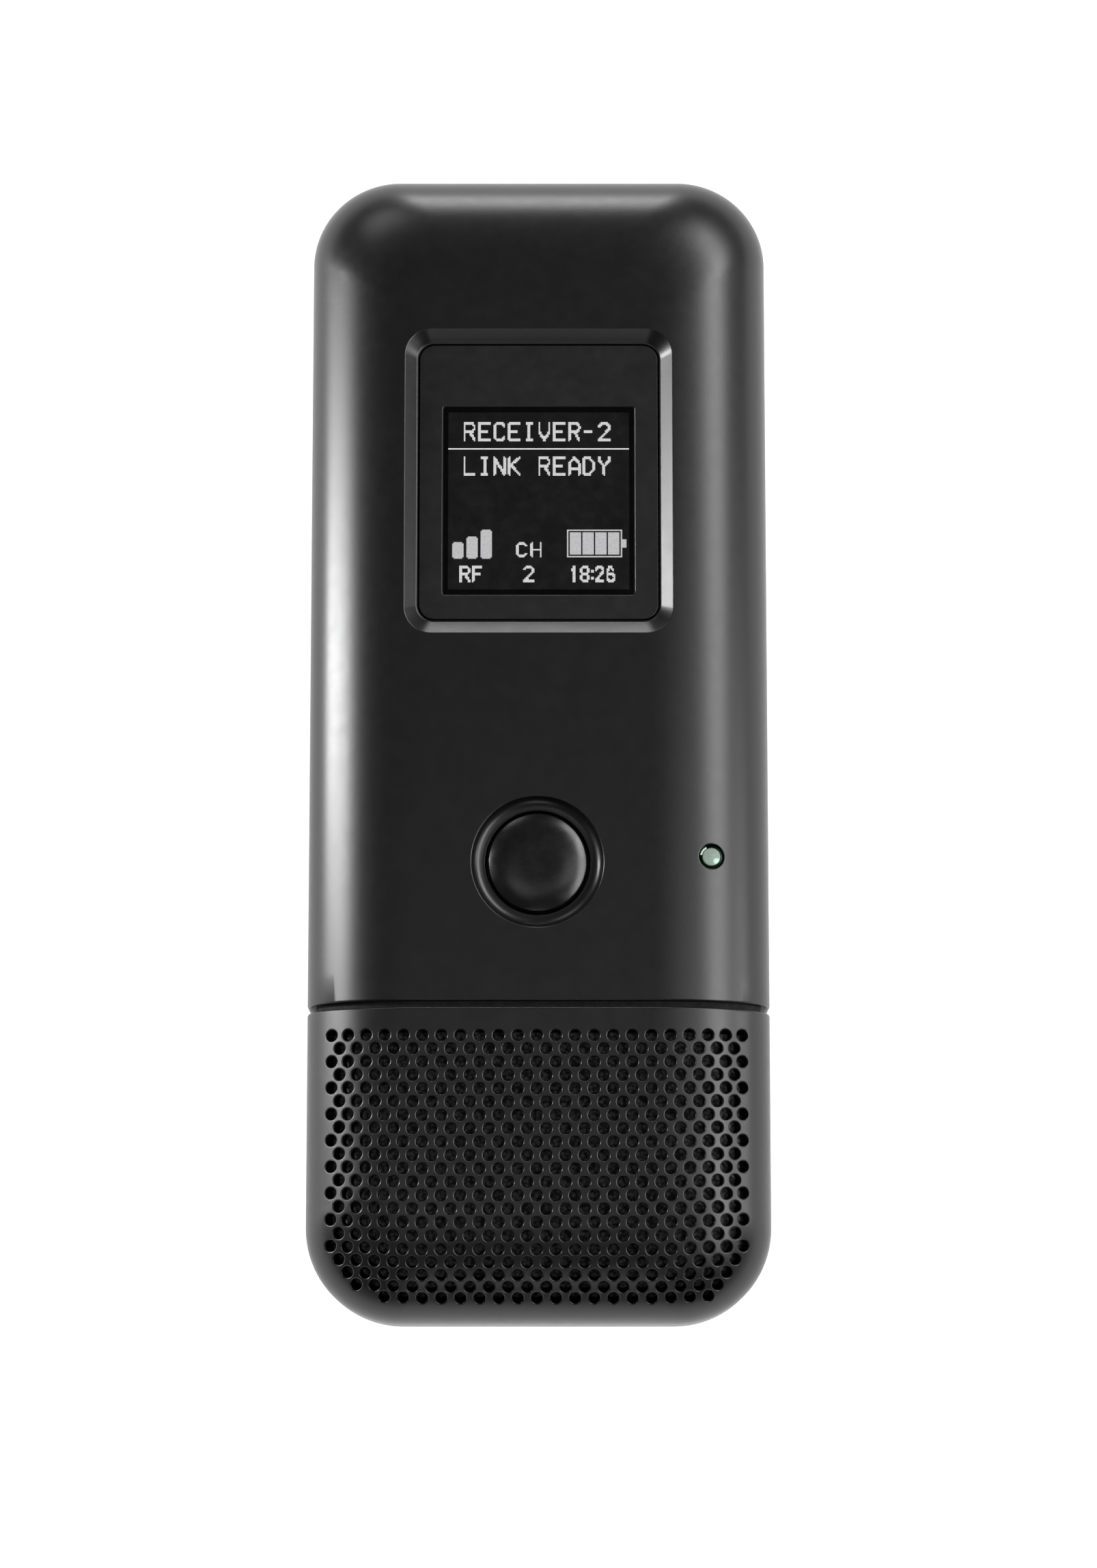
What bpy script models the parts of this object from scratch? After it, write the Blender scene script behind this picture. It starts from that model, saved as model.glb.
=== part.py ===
"""Body-worn wireless audio unit: a slim rounded case with a display, one round button, a status
light, a perforated microphone end and a spring-loaded belt clip.

The unit lies on its back, on the outer face of its clip. +X runs across its width, +Y along its
length towards the display end, and +Z out of its front face. The origin is under the middle of the
case, at the lowest face of the clip. Dimensions are in millimetres and become metres when a mesh
is made.
"""

import math

import bmesh
import bpy
from mathutils import Matrix, Vector

MM = 0.001
GAP = 0.3               # clearance between faces that touch on the real unit

# Case form
WIDTH = 44.4
LENGTH = 112.0
DEPTH = 21.5
BACK_Z = 6.6            # back face of the case, above the clip's outer face
FRONT_Z = BACK_Z + DEPTH
WALL = 1.6
SIDE_INSET = 11.5       # how far in from the side the front face starts to roll off
FRONT_ROLL = 8.0        # depth over which it rolls off
BACK_INSET = 6.5
BACK_ROLL = 8.5
ROLL_POWER = 2.2        # exponent of the superelliptic roll-off
DISPLAY_END_CORNER = 8.4
GRILLE_END_CORNER = 9.1
CORNER_TIGHTENING = 0.35
CORNER_STEPS = 6
FRONT_STEPS = 7
BACK_STEPS = 5

# Where the case comes apart
PARTING_Z = 15.4        # lower edge of the front shell
LIP_THICKNESS = 0.8     # inner lip of the rear shell, which closes the parting gap
LIP_Z = (PARTING_Z - 2.2, PARTING_Z + 1.0)
SEAM_Y = -25.87         # end of the two shells, beside the grille cap
SEAM_GAP = 0.52
CAP_END_Y = SEAM_Y - SEAM_GAP

# Display, centred on X = 0
RECESS = (12.95, 9.42, 39.48, 2.6)      # half width, low Y, high Y, corner radius at the face
LENS = (11.65, 10.84, 38.17, 1.6)       # the same at the foot of the bevelled rim
WINDOW = (9.19, 13.44, 31.90, 0.8)
RIM_DEPTH = 1.07
LEDGE = 0.23
FLANGE_MARGIN = 1.45
BEZEL_FLANGE = 1.0
BEZEL_LOW_Z = FRONT_Z - RIM_DEPTH - LEDGE - GAP - BEZEL_FLANGE
WINDOW_SINK = 0.23
GASKET_THICKNESS = 0.5
PANEL_THICKNESS = 1.2

# Push button
BUTTON_X = -0.09
BUTTON_Y = -12.62
BUTTON_RADIUS = 4.65
BUTTON_BORE = 5.0
DISH_RADIUS = 6.3
DISH_DEPTH = 1.9
DISH_BOSS_RADIUS = 8.0
DISH_BOSS_Z = 24.6
BUTTON_FLANGE_RADIUS = 5.7
BUTTON_LOW_Z = 23.9
BUTTON_TOP_Z = FRONT_Z - 0.05
BUTTON_TRAVEL = 0.5

# Status light
LIGHT_X = 16.44
LIGHT_Y = -12.03
LIGHT_HOLE = 1.18
LIGHT_RADIUS = 0.87
LIGHT_TOP_Z = 27.0

# Circuit board
BOARD_LOW_Z = 20.8
BOARD_THICKNESS = 1.0
BOARD_HALF_WIDTH = 19.4
BOARD_Y = (-21.5, 52.0)
BOARD_CORNER = 6.0
BOARD_HIGH_Z = BOARD_LOW_Z + BOARD_THICKNESS

# Ports in the display end
USB_X = 7.0
USB_Z = 18.8
USB_SIZE = (8.94, 3.2)
USB_LENGTH = 7.4
USB_WALL = 0.3
JACK_X = -7.0
JACK_Z = 18.3
JACK_BARREL = 2.1
JACK_BORE = 1.75
PORT_CLEARANCE = 0.32
PORT_FACE_Y = 55.5

# Case screws
SCREW_POSITIONS = [(14.5, 50.0), (-14.5, 50.0), (14.5, -20.0), (-14.5, -20.0)]
FRONT_POST = 2.4
BACK_POST = 3.1
SCREW_HOLE = 1.15
SCREW_SHANK = 0.9
SCREW_HEAD = 1.8
SCREW_SINK = 0.4
SCREW_HEAD_HEIGHT = 1.2
SCREW_LENGTH = 11.5

# Belt clip
CLIP_HALF_WIDTH = 11.2
CLIP_THICKNESS = 1.6
CLIP_TIP_Y = 41.5
CLIP_TAIL_Y = -28.0
HINGE_Y = -14.0
HINGE_Z = 3.2
KNUCKLE_RADIUS = 1.75
KNUCKLE_WIDTH = 2.3
PIN_RADIUS = 0.75
PIN_HOLE = 0.95
EAR_THICKNESS = 2.0
EAR_RADIUS = 1.9
BRACKET_Y = (-19.0, -9.0)
BRACKET_LOW_Z = 5.3
CLIP_SCREW_X = 6.0
CLIP_SCREW_POST = 2.3
CLIP_SCREW_POST_Z = 12.0
PAD = (7.0, 26.0, 35.0)                 # half width, low Y, high Y
PAD_LOW_Z = 1.0
PAD_HIGH_Z = 1.75
SPRING_COIL_RADIUS = 1.35
SPRING_WIRE_RADIUS = 0.28
SPRING_TURNS = 5
SPRING_HALF_LENGTH = 3.0

# Microphone
CAPSULE_Y = -38.0
CAPSULE_RADIUS = 3.0
BOOT_RADIUS = 5.2
BOOT_Z = (16.3, 21.5)
SHELF_Z = (14.0, 16.0)
CARRIER_Y = (CAP_END_Y - 2.1, SEAM_Y + 2.3)
FOAM_THICKNESS = 2.5

FAR = 80.0              # beyond the unit in any direction


# ---------------------------------------------------------------- tools

def clear_scene():
    for existing in list(bpy.data.objects):
        bpy.data.objects.remove(existing, do_unlink=True)


def surface(name, colour, roughness, metallic=0.0, alpha=1.0):
    """A Principled material for one sub-part."""
    material = bpy.data.materials.new(name)
    material.use_nodes = True
    shader = material.node_tree.nodes["Principled BSDF"]
    shader.inputs["Base Color"].default_value = (*colour, 1.0)
    shader.inputs["Roughness"].default_value = roughness
    shader.inputs["Metallic"].default_value = metallic
    shader.inputs["Alpha"].default_value = alpha
    return material


def loft(rings):
    """A closed mesh through rings of equal length, listed along the normal of the first ring."""
    mesh = bmesh.new()
    rows = [[mesh.verts.new(point) for point in ring] for ring in rings]
    count = len(rows[0])
    for low, high in zip(rows, rows[1:]):
        for i in range(count):
            j = (i + 1) % count
            mesh.faces.new((low[i], low[j], high[j], high[i]))
    mesh.faces.new(list(reversed(rows[0])))
    mesh.faces.new(rows[-1])
    return mesh


def turned(profile, centre=(0.0, 0.0), steps=24):
    """A solid of revolution about a vertical axis; profile runs upwards as (radius, z)."""
    rings = []
    for radius, z in profile:
        angles = [math.tau * i / steps for i in range(steps)]
        rings.append([(centre[0] + radius * math.cos(a), centre[1] + radius * math.sin(a), z)
                      for a in angles])
    return loft(rings)


def rod(start, end, radius, steps=20):
    """A cylinder between two points."""
    start, end = Vector(start), Vector(end)
    mesh = turned([(radius, 0.0), (radius, (end - start).length)], steps=steps)
    turn = Vector((0, 0, 1)).rotation_difference(end - start).to_matrix().to_4x4()
    mesh.transform(Matrix.Translation(start) @ turn)
    return mesh


def box(low, high):
    ring = [(low[0], low[1]), (high[0], low[1]), (high[0], high[1]), (low[0], high[1])]
    return loft([[(x, y, z) for x, y in ring] for z in (low[2], high[2])])


def rounded_outline(half_width, low_y, high_y, corners, steps):
    """Counter-clockwise outline; corners are the radii at the high-Y and the low-Y end."""
    points = []
    places = [(1, 1, 0), (-1, 1, 1), (-1, -1, 2), (1, -1, 3)]
    for side, end, quarter in places:
        radius = corners[0] if end > 0 else corners[1]
        centre_x = side * (half_width - radius)
        centre_y = high_y - radius if end > 0 else low_y + radius
        for i in range(steps + 1):
            angle = math.pi / 2 * (quarter + i / steps)
            points.append((centre_x + radius * math.cos(angle), centre_y + radius * math.sin(angle)))
    return points


def rounded_plate(outline, z_low, z_high, steps=3):
    """A plate with a rounded outline given as (half width, low Y, high Y, corner radius)."""
    half_width, low_y, high_y, corner = outline
    points = rounded_outline(half_width, low_y, high_y, (corner, corner), steps)
    return loft([[(x, y, z) for x, y in points] for z in (z_low, z_high)])


def grown(outline, amount):
    half_width, low_y, high_y, corner = outline
    return (half_width + amount, low_y - amount, high_y + amount, max(corner + amount, 0.2))


def extruded(profile, x_low, x_high):
    """A (y, z) profile, counter-clockwise seen from +X, extruded along X."""
    return loft([[(x, y, z) for y, z in profile] for x in (x_low, x_high)])


def part(name, mesh, material, origin=(0.0, 0.0, 0.0), parent=None):
    """Makes a named object, in metres, with its origin at the given point."""
    mesh.transform(Matrix.Translation(-Vector(origin)))
    mesh.transform(Matrix.Scale(MM, 4))
    data = bpy.data.meshes.new(name)
    mesh.to_mesh(data)
    mesh.free()
    node = bpy.data.objects.new(name, data)
    bpy.context.collection.objects.link(node)
    node.location = Vector(origin) * MM
    if material:
        data.materials.append(material)
    if parent:
        node.parent = parent
        node.location = Vector(origin) * MM - parent.location
    return node


def combine(node, operation, *tools):
    """Applies one exact Boolean for each tool mesh, in order."""
    for tool_mesh in tools:
        tool = part("tool", tool_mesh, None)
        step = node.modifiers.new("step", "BOOLEAN")
        step.operation = operation
        step.solver = "EXACT"
        step.object = tool
        bpy.context.view_layer.update()
        graph = bpy.context.evaluated_depsgraph_get()
        result = bpy.data.meshes.new_from_object(node.evaluated_get(graph))
        node.modifiers.remove(step)
        old = node.data
        node.data = result
        bpy.data.meshes.remove(old)
        bpy.data.objects.remove(tool, do_unlink=True)
    return node


def mesh_in_mm(node):
    """Takes an object back as a millimetre mesh, to be used as a tool, and removes the object."""
    mesh = bmesh.new()
    mesh.from_mesh(node.data)
    mesh.transform(Matrix.Scale(1 / MM, 4))
    bpy.data.objects.remove(node, do_unlink=True)
    return mesh


def cut(node, *tools):
    return combine(node, "DIFFERENCE", *tools)


def keep(node, *tools):
    return combine(node, "INTERSECT", *tools)


def add(node, *tools):
    return combine(node, "UNION", *tools)


def smooth(node, angle=35.0):
    node.data.shade_smooth()
    node.data.set_sharp_from_angle(angle=math.radians(angle))
    return node


# ---------------------------------------------------------------- case

def case_rings(wall):
    """Rings of the rounded case form, from the back face up, offset inwards by wall."""
    half_width, half_length = WIDTH / 2 - wall, LENGTH / 2 - wall
    levels = []
    for i in range(BACK_STEPS + 1):
        levels.append(("back", math.pi / 2 * i / BACK_STEPS))
    for i in range(FRONT_STEPS + 1):
        levels.append(("front", math.pi / 2 * (1 - i / FRONT_STEPS)))
    rings = []
    for half, angle in levels:
        inset = BACK_INSET if half == "back" else SIDE_INSET
        roll = BACK_ROLL if half == "back" else FRONT_ROLL
        inwards = (inset - wall) * (1 - math.sin(angle) ** (2 / ROLL_POWER))
        depth = (roll - wall) * (1 - max(math.cos(angle), 0.0) ** (2 / ROLL_POWER))
        z = BACK_Z + wall + depth if half == "back" else FRONT_Z - wall - depth
        shrink = wall + CORNER_TIGHTENING * inwards
        corners = (DISPLAY_END_CORNER - shrink, GRILLE_END_CORNER - shrink)
        outline = rounded_outline(half_width - inwards, -half_length + inwards,
                                  half_length - inwards, corners, CORNER_STEPS)
        rings.append([(x, y, z) for x, y in outline])
    return rings


def case_form(wall=0.0):
    return loft(case_rings(wall))


def slab(y_low=-FAR, y_high=FAR, z_low=-FAR, z_high=FAR):
    return box((-FAR, y_low, z_low), (FAR, y_high, z_high))


def hollow_case(name, material):
    """The case as one hollow form, with its screw posts and bosses, before it is parted."""
    cavity = part("cavity", case_form(WALL), None)
    for x, y in SCREW_POSITIONS:
        cut(cavity, turned([(BACK_POST, -1.0), (BACK_POST, PARTING_Z - GAP / 2),
                            (FRONT_POST, PARTING_Z - GAP / 2), (FRONT_POST, FAR)], (x, y), 16))
    cut(cavity, turned([(DISH_BOSS_RADIUS, DISH_BOSS_Z), (DISH_BOSS_RADIUS, FAR)],
                       (BUTTON_X, BUTTON_Y), 28))
    for side in (-1, 1):
        cut(cavity, turned([(CLIP_SCREW_POST, -1.0), (CLIP_SCREW_POST, CLIP_SCREW_POST_Z)],
                           (side * CLIP_SCREW_X, HINGE_Y), 16))
    return cut(part(name, case_form(), material), mesh_in_mm(cavity))


def dish_profile():
    """Radius and height of the bowl around the button, from the bore up to the face."""
    floor_z = FRONT_Z - DISH_DEPTH
    fillet = 0.8
    points = [(BUTTON_BORE, PARTING_Z), (BUTTON_BORE, floor_z)]
    for i in range(5):
        angle = math.radians(80) * i / 4
        points.append((DISH_RADIUS - 0.16 - fillet * (1 - math.sin(angle)),
                       floor_z + fillet * (1 - math.cos(angle))))
    points += [(DISH_RADIUS - 0.05, FRONT_Z - 0.2), (DISH_RADIUS + 0.05, FRONT_Z + 0.2)]
    return points


def front_shell():
    material = surface("front_shell", (0.012, 0.012, 0.013), 0.42)
    shell = hollow_case("front_shell", material)
    keep(shell, slab(y_low=SEAM_Y, z_low=PARTING_Z))
    lens = rounded_outline(*LENS[:3], (LENS[3], LENS[3]), 4)
    rim = rounded_outline(*RECESS[:3], (RECESS[3], RECESS[3]), 4)
    above = 1.25                                   # the bevel is continued past the face
    mouth = [(x + (u - x) * above, y + (v - y) * above) for (x, y), (u, v) in zip(lens, rim)]
    foot_z = FRONT_Z - RIM_DEPTH
    cut(shell, loft([[(x, y, PARTING_Z) for x, y in lens], [(x, y, foot_z) for x, y in lens],
                     [(x, y, foot_z + RIM_DEPTH * above) for x, y in mouth]]))
    cut(shell, rounded_plate(grown(LENS, FLANGE_MARGIN + GAP), PARTING_Z, foot_z - LEDGE, 4))
    cut(shell, turned(dish_profile(), (BUTTON_X, BUTTON_Y), 28))
    cut(shell, turned([(LIGHT_HOLE, PARTING_Z), (LIGHT_HOLE, FAR)], (LIGHT_X, LIGHT_Y), 16))
    cut(shell, usb_form(PORT_CLEARANCE, 52.0, FAR))
    cut(shell, rod((JACK_X, 52.0, JACK_Z), (JACK_X, FAR, JACK_Z), JACK_BARREL + PORT_CLEARANCE))
    for x, y in SCREW_POSITIONS:
        cut(shell, turned([(SCREW_HOLE, 0.0), (SCREW_HOLE, PARTING_Z + 5.0)], (x, y), 12))
    return smooth(shell)


def parting_lip():
    """A band that stands up inside the front shell and is rooted in the rear shell's wall."""
    lip_low_y = SEAM_Y + 2.6
    lip = part("parting_lip", case_form(WALL - GAP), None)
    keep(lip, slab(lip_low_y, FAR, LIP_Z[0], LIP_Z[1]))
    cut(lip, case_form(WALL + GAP + LIP_THICKNESS))
    band = part("band", slab(z_low=PARTING_Z - 1.5 * GAP), None)
    cut(band, case_form(WALL + GAP))
    outside = mesh_in_mm(band)
    cut(lip, outside, box((JACK_X - 3.4, 50.0, PARTING_Z - GAP), (JACK_X + 3.4, FAR, FAR)))
    return mesh_in_mm(lip)


def rear_shell():
    material = surface("rear_shell", (0.012, 0.012, 0.013), 0.45)
    shell = hollow_case("rear_shell", material)
    keep(shell, slab(y_low=SEAM_Y, z_high=PARTING_Z - GAP))
    add(shell, parting_lip())
    head_seat_z = BACK_Z + SCREW_SINK + SCREW_HEAD_HEIGHT + GAP
    for x, y in SCREW_POSITIONS:
        cut(shell, turned([(SCREW_HEAD + GAP, 0.0), (SCREW_HEAD + GAP, head_seat_z),
                           (SCREW_HOLE, head_seat_z), (SCREW_HOLE, FAR)], (x, y), 16))
    for side in (-1, 1):
        cut(shell, turned([(SCREW_HOLE, 0.0), (SCREW_HOLE, CLIP_SCREW_POST_Z - 0.6)],
                          (side * CLIP_SCREW_X, HINGE_Y), 12))
    return smooth(shell)


def grille_cap():
    """The perforated end cap, as a plain shell open towards the case."""
    cap = part("grille_cap", case_form(), surface("grille_cap", (0.014, 0.014, 0.015), 0.4))
    keep(cap, slab(y_high=CAP_END_Y))
    cut(cap, case_form(WALL))
    return smooth(cap)


def seam_gasket():
    ring = part("seam_gasket", case_form(WALL + GAP), surface("seam_gasket", (0.004,) * 3, 0.8))
    keep(ring, slab(y_low=CAP_END_Y - 1.6, y_high=SEAM_Y + 1.6))
    return smooth(cut(ring, case_form(WALL + GAP + 1.0)))


def grille_carrier():
    """The frame that closes the case behind the grille and holds the microphone on a shelf."""
    carrier = part("grille_carrier", case_form(WALL + 1.0 + 2 * GAP),
                   surface("grille_carrier", (0.03, 0.03, 0.03), 0.6))
    keep(carrier, slab(y_low=CARRIER_Y[0], y_high=CARRIER_Y[1]))
    cut(carrier, box((-6.0, -FAR, SHELF_Z[1] + GAP), (6.0, FAR, 20.0)))
    add(carrier, box((-6.5, CAPSULE_Y - 6.5, SHELF_Z[0]), (6.5, CAP_END_Y - 1.0, SHELF_Z[1])))
    return smooth(carrier)


def foam_windscreen():
    foam = part("foam_windscreen", case_form(WALL + GAP), surface("foam_windscreen", (0.02,) * 3, 1.0))
    keep(foam, slab(y_high=CARRIER_Y[0] - GAP))
    return smooth(cut(foam, case_form(WALL + GAP + FOAM_THICKNESS)))


# ---------------------------------------------------------------- display

def display_bezel():
    land_z = FRONT_Z - RIM_DEPTH
    bezel = part("display_bezel", rounded_plate(grown(LENS, FLANGE_MARGIN), BEZEL_LOW_Z,
                                                BEZEL_LOW_Z + BEZEL_FLANGE, 4),
                 surface("display_bezel", (0.016, 0.016, 0.018), 0.3))
    add(bezel, rounded_plate(grown(LENS, -GAP), BEZEL_LOW_Z + 0.2, land_z, 4))
    return cut(bezel, rounded_plate(WINDOW, 0.0, FAR))


def display_window():
    top = FRONT_Z - RIM_DEPTH - WINDOW_SINK
    return part("display_window", rounded_plate(grown(WINDOW, -GAP),
                                                BEZEL_LOW_Z - GAP - GASKET_THICKNESS, top),
                surface("display_window", (0.01, 0.01, 0.012), 0.08, alpha=0.4))


def display_gasket():
    high = BEZEL_LOW_Z - GAP
    ring = part("display_gasket", rounded_plate(grown(WINDOW, 1.8), high - GASKET_THICKNESS, high),
                surface("display_gasket", (0.01,) * 3, 0.95))
    return cut(ring, rounded_plate(grown(WINDOW, GAP), 0.0, FAR))


def panel_high_z():
    return BEZEL_LOW_Z - 2 * GAP - GASKET_THICKNESS


def oled_panel():
    high = panel_high_z()
    return part("oled_panel", rounded_plate(grown(WINDOW, 2.0), high - PANEL_THICKNESS, high, 1),
                surface("oled_panel", (0.005, 0.005, 0.006), 0.1))


def ribbon(name, path, half_width, thickness, colour):
    """A flat cable that follows a (y, z) path."""
    under = [(y, z - thickness / 2) for y, z in path]
    over = [(y, z + thickness / 2) for y, z in reversed(path)]
    return part(name, extruded(under + over, -half_width, half_width), surface(name, colour, 0.5))


def display_ribbon():
    under_panel = panel_high_z() - PANEL_THICKNESS - GAP - 0.1
    on_board = BOARD_HIGH_Z + GAP + 0.1
    path = [(1.5, on_board), (6.0, on_board), (8.5, under_panel), (15.0, under_panel)]
    return ribbon("display_ribbon", path, 5.0, 0.2, (0.35, 0.15, 0.03))


# ---------------------------------------------------------------- button and light

def push_button(parent):
    edge = 0.25
    top = BUTTON_TOP_Z
    flange_z = DISH_BOSS_Z - GAP
    profile = [(BUTTON_FLANGE_RADIUS, BUTTON_LOW_Z), (BUTTON_FLANGE_RADIUS, flange_z),
               (BUTTON_RADIUS, flange_z), (BUTTON_RADIUS, top - 0.22 - edge),
               (BUTTON_RADIUS - 0.08, top - 0.22 - 0.3 * edge),
               (BUTTON_RADIUS - edge, top - 0.2), (0.5 * BUTTON_RADIUS, top)]
    place = (BUTTON_X, BUTTON_Y)
    button = part("push_button", turned(profile, place, 28),
                  surface("push_button", (0.01, 0.01, 0.011), 0.35), (*place, top), parent)
    cut(button, turned([(3.5, 0.0), (3.5, BUTTON_LOW_Z + 1.1)], place, 20))
    return smooth(button)


def switch_plunger(parent):
    place = (BUTTON_X, BUTTON_Y)
    mesh = turned([(1.1, BUTTON_LOW_Z - 0.9), (1.1, BUTTON_LOW_Z + 1.1 - GAP)], place, 14)
    return smooth(part("switch_plunger", mesh, surface("switch_plunger", (0.1, 0.1, 0.1), 0.5),
                       (*place, BUTTON_LOW_Z), parent))


def switch_body():
    low = BOARD_HIGH_Z + GAP
    half = 2.25
    body = part("switch_body", box((BUTTON_X - half, BUTTON_Y - half, low),
                                   (BUTTON_X + half, BUTTON_Y + half, low + 1.5)),
                surface("switch_body", (0.5, 0.5, 0.48), 0.35, 0.6))
    return cut(body, turned([(1.4, low + 0.25), (1.4, FAR)], (BUTTON_X, BUTTON_Y), 14))


def light_pipe():
    profile = [(LIGHT_RADIUS, BOARD_HIGH_Z + 1.1), (LIGHT_RADIUS, 24.0), (1.6, 24.0), (1.6, 24.5),
               (LIGHT_RADIUS, 24.5), (LIGHT_RADIUS, LIGHT_TOP_Z - 0.2), (0.5, LIGHT_TOP_Z)]
    return smooth(part("light_pipe", turned(profile, (LIGHT_X, LIGHT_Y), 16),
                       surface("light_pipe", (0.5, 0.6, 0.52), 0.1, alpha=0.8)))


def status_led():
    low = BOARD_HIGH_Z + GAP
    return part("status_led", box((LIGHT_X - 0.8, LIGHT_Y - 0.6, low),
                                  (LIGHT_X + 0.8, LIGHT_Y + 0.6, low + 0.5)),
                surface("status_led", (0.6, 0.8, 0.6), 0.3))


# ---------------------------------------------------------------- electronics

def main_board():
    board = part("main_board", rounded_plate((BOARD_HALF_WIDTH, *BOARD_Y, BOARD_CORNER),
                                             BOARD_LOW_Z, BOARD_HIGH_Z, 4),
                 surface("main_board", (0.01, 0.09, 0.04), 0.4))
    for x, y in SCREW_POSITIONS:
        cut(board, turned([(FRONT_POST + GAP, 0.0), (FRONT_POST + GAP, FAR)], (x, y), 16))
    return board


def board_component(name, x_range, y_range, height, colour, roughness=0.45, metallic=0.0):
    """A block fixed under the board."""
    high = BOARD_LOW_Z - GAP
    return part(name, box((x_range[0], y_range[0], high - height), (x_range[1], y_range[1], high)),
                surface(name, colour, roughness, metallic))


def rf_shield():
    """A pressed can, open towards the board."""
    x, y, height, wall = (-13.0, 3.0), (6.0, 26.0), 2.4, 0.4
    can = board_component("rf_shield", x, y, height, (0.7, 0.7, 0.68), 0.3, 1.0)
    low = BOARD_LOW_Z - GAP - height
    return cut(can, box((x[0] + wall, y[0] + wall, low + wall), (x[1] - wall, y[1] - wall, FAR)))


def radio_chip():
    high = BOARD_LOW_Z - GAP
    return part("radio_chip", box((-9.0, 12.0, high - 1.2), (-1.0, 20.0, high)),
                surface("radio_chip", (0.01,) * 3, 0.5))


def antenna_strip():
    return part("antenna_strip", box((18.5, -14.0, 16.0), (19.0, 44.0, BOARD_LOW_Z - GAP)),
                surface("antenna_strip", (0.72, 0.5, 0.25), 0.3, 1.0))


def battery_pack():
    low = BACK_Z + WALL + GAP
    outline = (14.3, -4.0, 46.0, 2.0)
    return part("battery_pack", rounded_plate(outline, low, low + 6.7),
                surface("battery_pack", (0.03, 0.06, 0.14), 0.4))


def battery_ribbon():
    low, high = 11.0, BOARD_LOW_Z - GAP - 0.2
    path = [(-4.4, low), (-6.5, low), (-6.5, high), (-4.0, high)]
    thickness = 0.4
    outer = [(-4.4, low - thickness / 2), (-4.4, low + thickness / 2)]
    inner = [(path[1][0] + thickness / 2, low + thickness / 2),
             (path[2][0] + thickness / 2, high - thickness / 2), (path[3][0], high - thickness / 2)]
    back = [(path[3][0], high + thickness / 2), (path[2][0] - thickness / 2, high + thickness / 2),
            (path[1][0] - thickness / 2, low - thickness / 2)]
    profile = outer + inner + back
    return part("battery_ribbon", extruded(profile, -3.0, 3.0),
                surface("battery_ribbon", (0.35, 0.15, 0.03), 0.5))


# ---------------------------------------------------------------- ports

def usb_form(growth, y_low, y_high):
    """The stadium-shaped outline of a USB-C receptacle, extruded along Y."""
    width, height = USB_SIZE[0] + 2 * growth, USB_SIZE[1] + 2 * growth
    radius = height / 2
    points = []
    for side, start in ((1, -90), (-1, 90)):
        for i in range(7):
            angle = math.radians(start + 180 * i / 6)
            points.append((USB_X + side * (width / 2 - radius) + radius * math.cos(angle),
                           USB_Z + radius * math.sin(angle)))
    return loft([[(x, y, z) for x, z in points] for y in (y_high, y_low)])


def usb_shell():
    shell = part("usb_shell", usb_form(0.0, PORT_FACE_Y - USB_LENGTH, PORT_FACE_Y),
                 surface("usb_shell", (0.75, 0.75, 0.75), 0.25, 1.0))
    return smooth(cut(shell, usb_form(-USB_WALL, PORT_FACE_Y - USB_LENGTH + 0.8, FAR)))


def usb_tongue():
    low_y = PORT_FACE_Y - USB_LENGTH + 0.8 + GAP
    return part("usb_tongue", box((USB_X - 3.3, low_y, USB_Z - 0.35),
                                  (USB_X + 3.3, PORT_FACE_Y - 0.9, USB_Z + 0.35)),
                surface("usb_tongue", (0.02,) * 3, 0.5))


def audio_jack():
    half_x, block_end = 3.0, 53.4
    high = BOARD_LOW_Z - GAP
    jack = part("audio_jack", box((JACK_X - half_x, 41.5, high - 4.7), (JACK_X + half_x, block_end, high)),
                surface("audio_jack", (0.015,) * 3, 0.4))
    add(jack, rod((JACK_X, 50.0, JACK_Z), (JACK_X, PORT_FACE_Y, JACK_Z), JACK_BARREL))
    return smooth(cut(jack, rod((JACK_X, 43.0, JACK_Z), (JACK_X, FAR, JACK_Z), JACK_BORE)))


# ---------------------------------------------------------------- microphone

def mic_boot():
    place = (0.0, CAPSULE_Y)
    boot = part("mic_boot", turned([(BOOT_RADIUS, BOOT_Z[0]), (BOOT_RADIUS, BOOT_Z[1] - 0.5),
                                    (BOOT_RADIUS - 0.5, BOOT_Z[1])], place),
                surface("mic_boot", (0.01,) * 3, 0.8))
    return smooth(cut(boot, turned([(CAPSULE_RADIUS + GAP, BOOT_Z[0] + 1.0),
                                    (CAPSULE_RADIUS + GAP, FAR)], place)))


def mic_capsule():
    mesh = turned([(CAPSULE_RADIUS, BOOT_Z[0] + 1.0 + GAP), (CAPSULE_RADIUS, BOOT_Z[1] - 0.2),
                   (CAPSULE_RADIUS - 0.2, BOOT_Z[1])], (0.0, CAPSULE_Y))
    return smooth(part("mic_capsule", mesh, surface("mic_capsule", (0.7, 0.7, 0.68), 0.3, 1.0)))


def mic_ribbon():
    level = SHELF_Z[1] + GAP + 0.2
    high = BOARD_LOW_Z - GAP - 0.2
    path = [(CAPSULE_Y + BOOT_RADIUS + GAP, level), (-21.0, level), (-18.0, high), (-14.0, high)]
    return ribbon("mic_ribbon", path, 1.5, 0.3, (0.35, 0.15, 0.03))


# ---------------------------------------------------------------- fasteners and clip

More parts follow.
